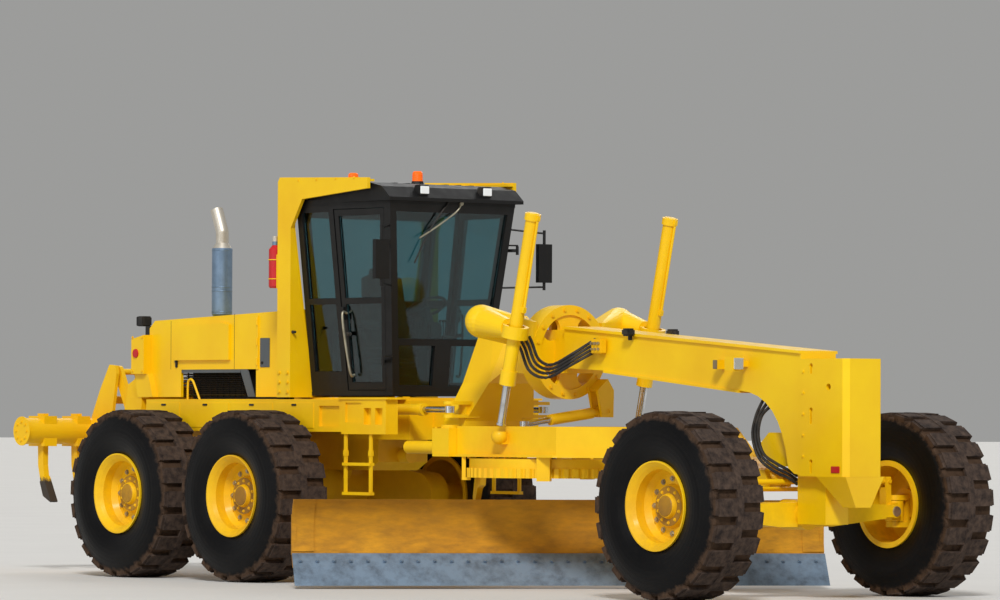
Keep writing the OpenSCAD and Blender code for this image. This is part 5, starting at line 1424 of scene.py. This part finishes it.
@dataclass
class Cylinders:
    """Hydraulic cylinders: gland bolts, head caps, port fittings."""

    pivot: tuple[float, float] = (-2850.0, 2300.0)
    tilt: float = 13.3
    side: float = 800.0
    gland: float = -482.0
    head: float = 1073.0
    ports: tuple[float, float] = (215.0, 1044.0)

    def local(self, s: int, x: float, z: float) -> Point:
        """Turn a lift cylinder's own axes into millimetres of the machine."""
        c, n = math.cos(math.radians(self.tilt)), math.sin(math.radians(self.tilt))
        return (self.pivot[0] + x * c + z * n, s * self.side, self.pivot[1] - x * n + z * c)

    def build(self) -> None:
        """Dress every cylinder."""
        dress(CLEAN_YELLOW, "lift_barrel_r", "lift_barrel_l")
        dress(YELLOW, "shift_barrel", "art_barrel_r", "art_barrel_l")
        dress(CHROME, "lift_rod_r", "lift_rod_l", "shift_rod", "art_rod_r", "art_rod_l")
        for s, hand in HANDS:
            down = Vector(self.local(s, 0, -1)) - Vector(self.local(s, 0, 0))
            gland = circle_spots(self.local(s, 0, self.gland), tuple(down), 56, 8)
            ROWS.bolt(f"lift_gland_bolts_{hand}", "lift_barrel_" + hand, gland, 8.0, BOLT)
            head = Shape()
            head.rod(self.local(s, 0, self.head), self.local(s, 0, self.head + 9), 58, 50, 32)
            for z in self.ports:
                head.rod(self.local(s, 62, z), self.local(s, 92, z), 19, 19, 6)
            head.done(f"lift_port_blocks_{hand}", "lift_barrel_" + hand, CLEAN_YELLOW, "paint")


@dataclass
class Ripper:
    """Rear ripper: finish by height, beam end bolts."""

    x: float = -10290.0
    z: float = 1385.0
    end: float = 1075.0

    def build(self) -> None:
        """Dress the ripper."""
        dress(RIPPER_YELLOW, "ripper_beam")
        dress(YELLOW, "ripper_arms", "ripper_link", "ripper_barrel")
        dress(CHROME, "ripper_rod")
        spots = []
        for s in SIDES:
            spots += circle_spots((self.x, s * self.end, self.z), (0.0, float(s), 0.0), 92, 8)
        ROWS.bolt("ripper_beam_bolts", "ripper_beam", spots, 12.0, YELLOW)


@dataclass
class Studio:
    """Camera as in the photograph, pale floor and soft lamps, in the frame's metres."""

    place: Point = (39.720, -31.343, 1.527)
    right: Point = (0.6266, 0.7793, 0.0045)
    up: Point = (0.0141, -0.0172, 0.9998)
    ahead: Point = (-0.7792, 0.6264, 0.0217)
    lens: float = 196.7
    floor_reach: float = 300.0
    sky: float = 0.42

    def build(self) -> None:
        """Set the camera, floor, world and lamps."""
        scene = bpy.context.scene
        data = bpy.data.cameras.new("camera")
        data.lens = self.lens
        data.sensor_width = 36.0
        data.clip_end = 400.0
        camera = bpy.data.objects.new("camera", data)
        turn = Matrix((self.right, self.up, [-a for a in self.ahead])).transposed().to_4x4()
        camera.matrix_world = Matrix.Translation(self.place) @ turn
        scene.collection.objects.link(camera)
        scene.camera = camera
        scene.view_settings.view_transform = "Standard"
        self.floor()
        self.world()
        self.sun("key_light", (20.0, -17.0, 22.0), 2.3, 12.0)
        self.sun("fill_light", (2.0, -30.0, 9.0), 0.45, 40.0)
        self.sun("back_light", (-16.0, 20.0, 18.0), 0.6, 30.0)

    def floor(self) -> None:
        """Lay a pale floor."""
        mesh = bpy.data.meshes.new("floor")
        far = self.floor_reach
        mesh.from_pydata([(-far, -far, 0), (far, -far, 0), (far, far, 0), (-far, far, 0)], [], [(0, 1, 2, 3)])
        # Power-floated pale concrete: nearly even, cloudy over a metre or two
        made, tree, place = start("pale_concrete_floor")
        cloud = add(tree, NOISE, {"Vector": place, "Scale": scale(1500), "Detail": 6, "Roughness": 0.55})
        colour = add(tree, MIX, {0: cloud, 6: linear("#d2d0cc"), 7: linear("#dddbd7")}, data_type="RGBA")
        close(tree, {"Base Color": colour, "Roughness": 0.8})
        mesh.materials.append(made)
        floor = bpy.data.objects.new("floor", mesh)
        bpy.context.scene.collection.objects.link(floor)

    def world(self) -> None:
        """Light from all round with a pale grey sky."""
        world = bpy.data.worlds.new("studio")
        world.use_nodes = True
        sky = world.node_tree.nodes["Background"]
        sky.inputs["Color"].default_value = linear("#e6e6e4")
        sky.inputs["Strength"].default_value = self.sky
        bpy.context.scene.world = world

    def sun(self, name: str, source: Point, strength: float, spread_deg: float) -> None:
        """Add an even, soft light from one side.

        Args:
            name: Light's name.
            source: Direction it comes from.
            strength: Watts on a square metre.
            spread_deg: Apparent size, in degrees: wider is softer.
        """
        data = bpy.data.lights.new(name, "SUN")
        data.energy = strength
        data.angle = math.radians(spread_deg)
        light = bpy.data.objects.new(name, data)
        way = (-Vector(source)).to_track_quat("-Z", "Y")
        light.matrix_world = Matrix.Translation(source) @ way.to_matrix().to_4x4()
        bpy.context.scene.collection.objects.link(light)


def main() -> None:
    """Build every sub-assembly in order."""
    logging.basicConfig(level=logging.INFO, format="%(message)s")
    for part in (RearFrame(), Hood(), Cab(), FrontFrame(), Drawbar(), Blade(), Cylinders(), Ripper(),
                 Wheels(), Studio()):
        LOG.info("building %s", type(part).__name__)
        part.build()


if __name__ == "__main__":
    main()
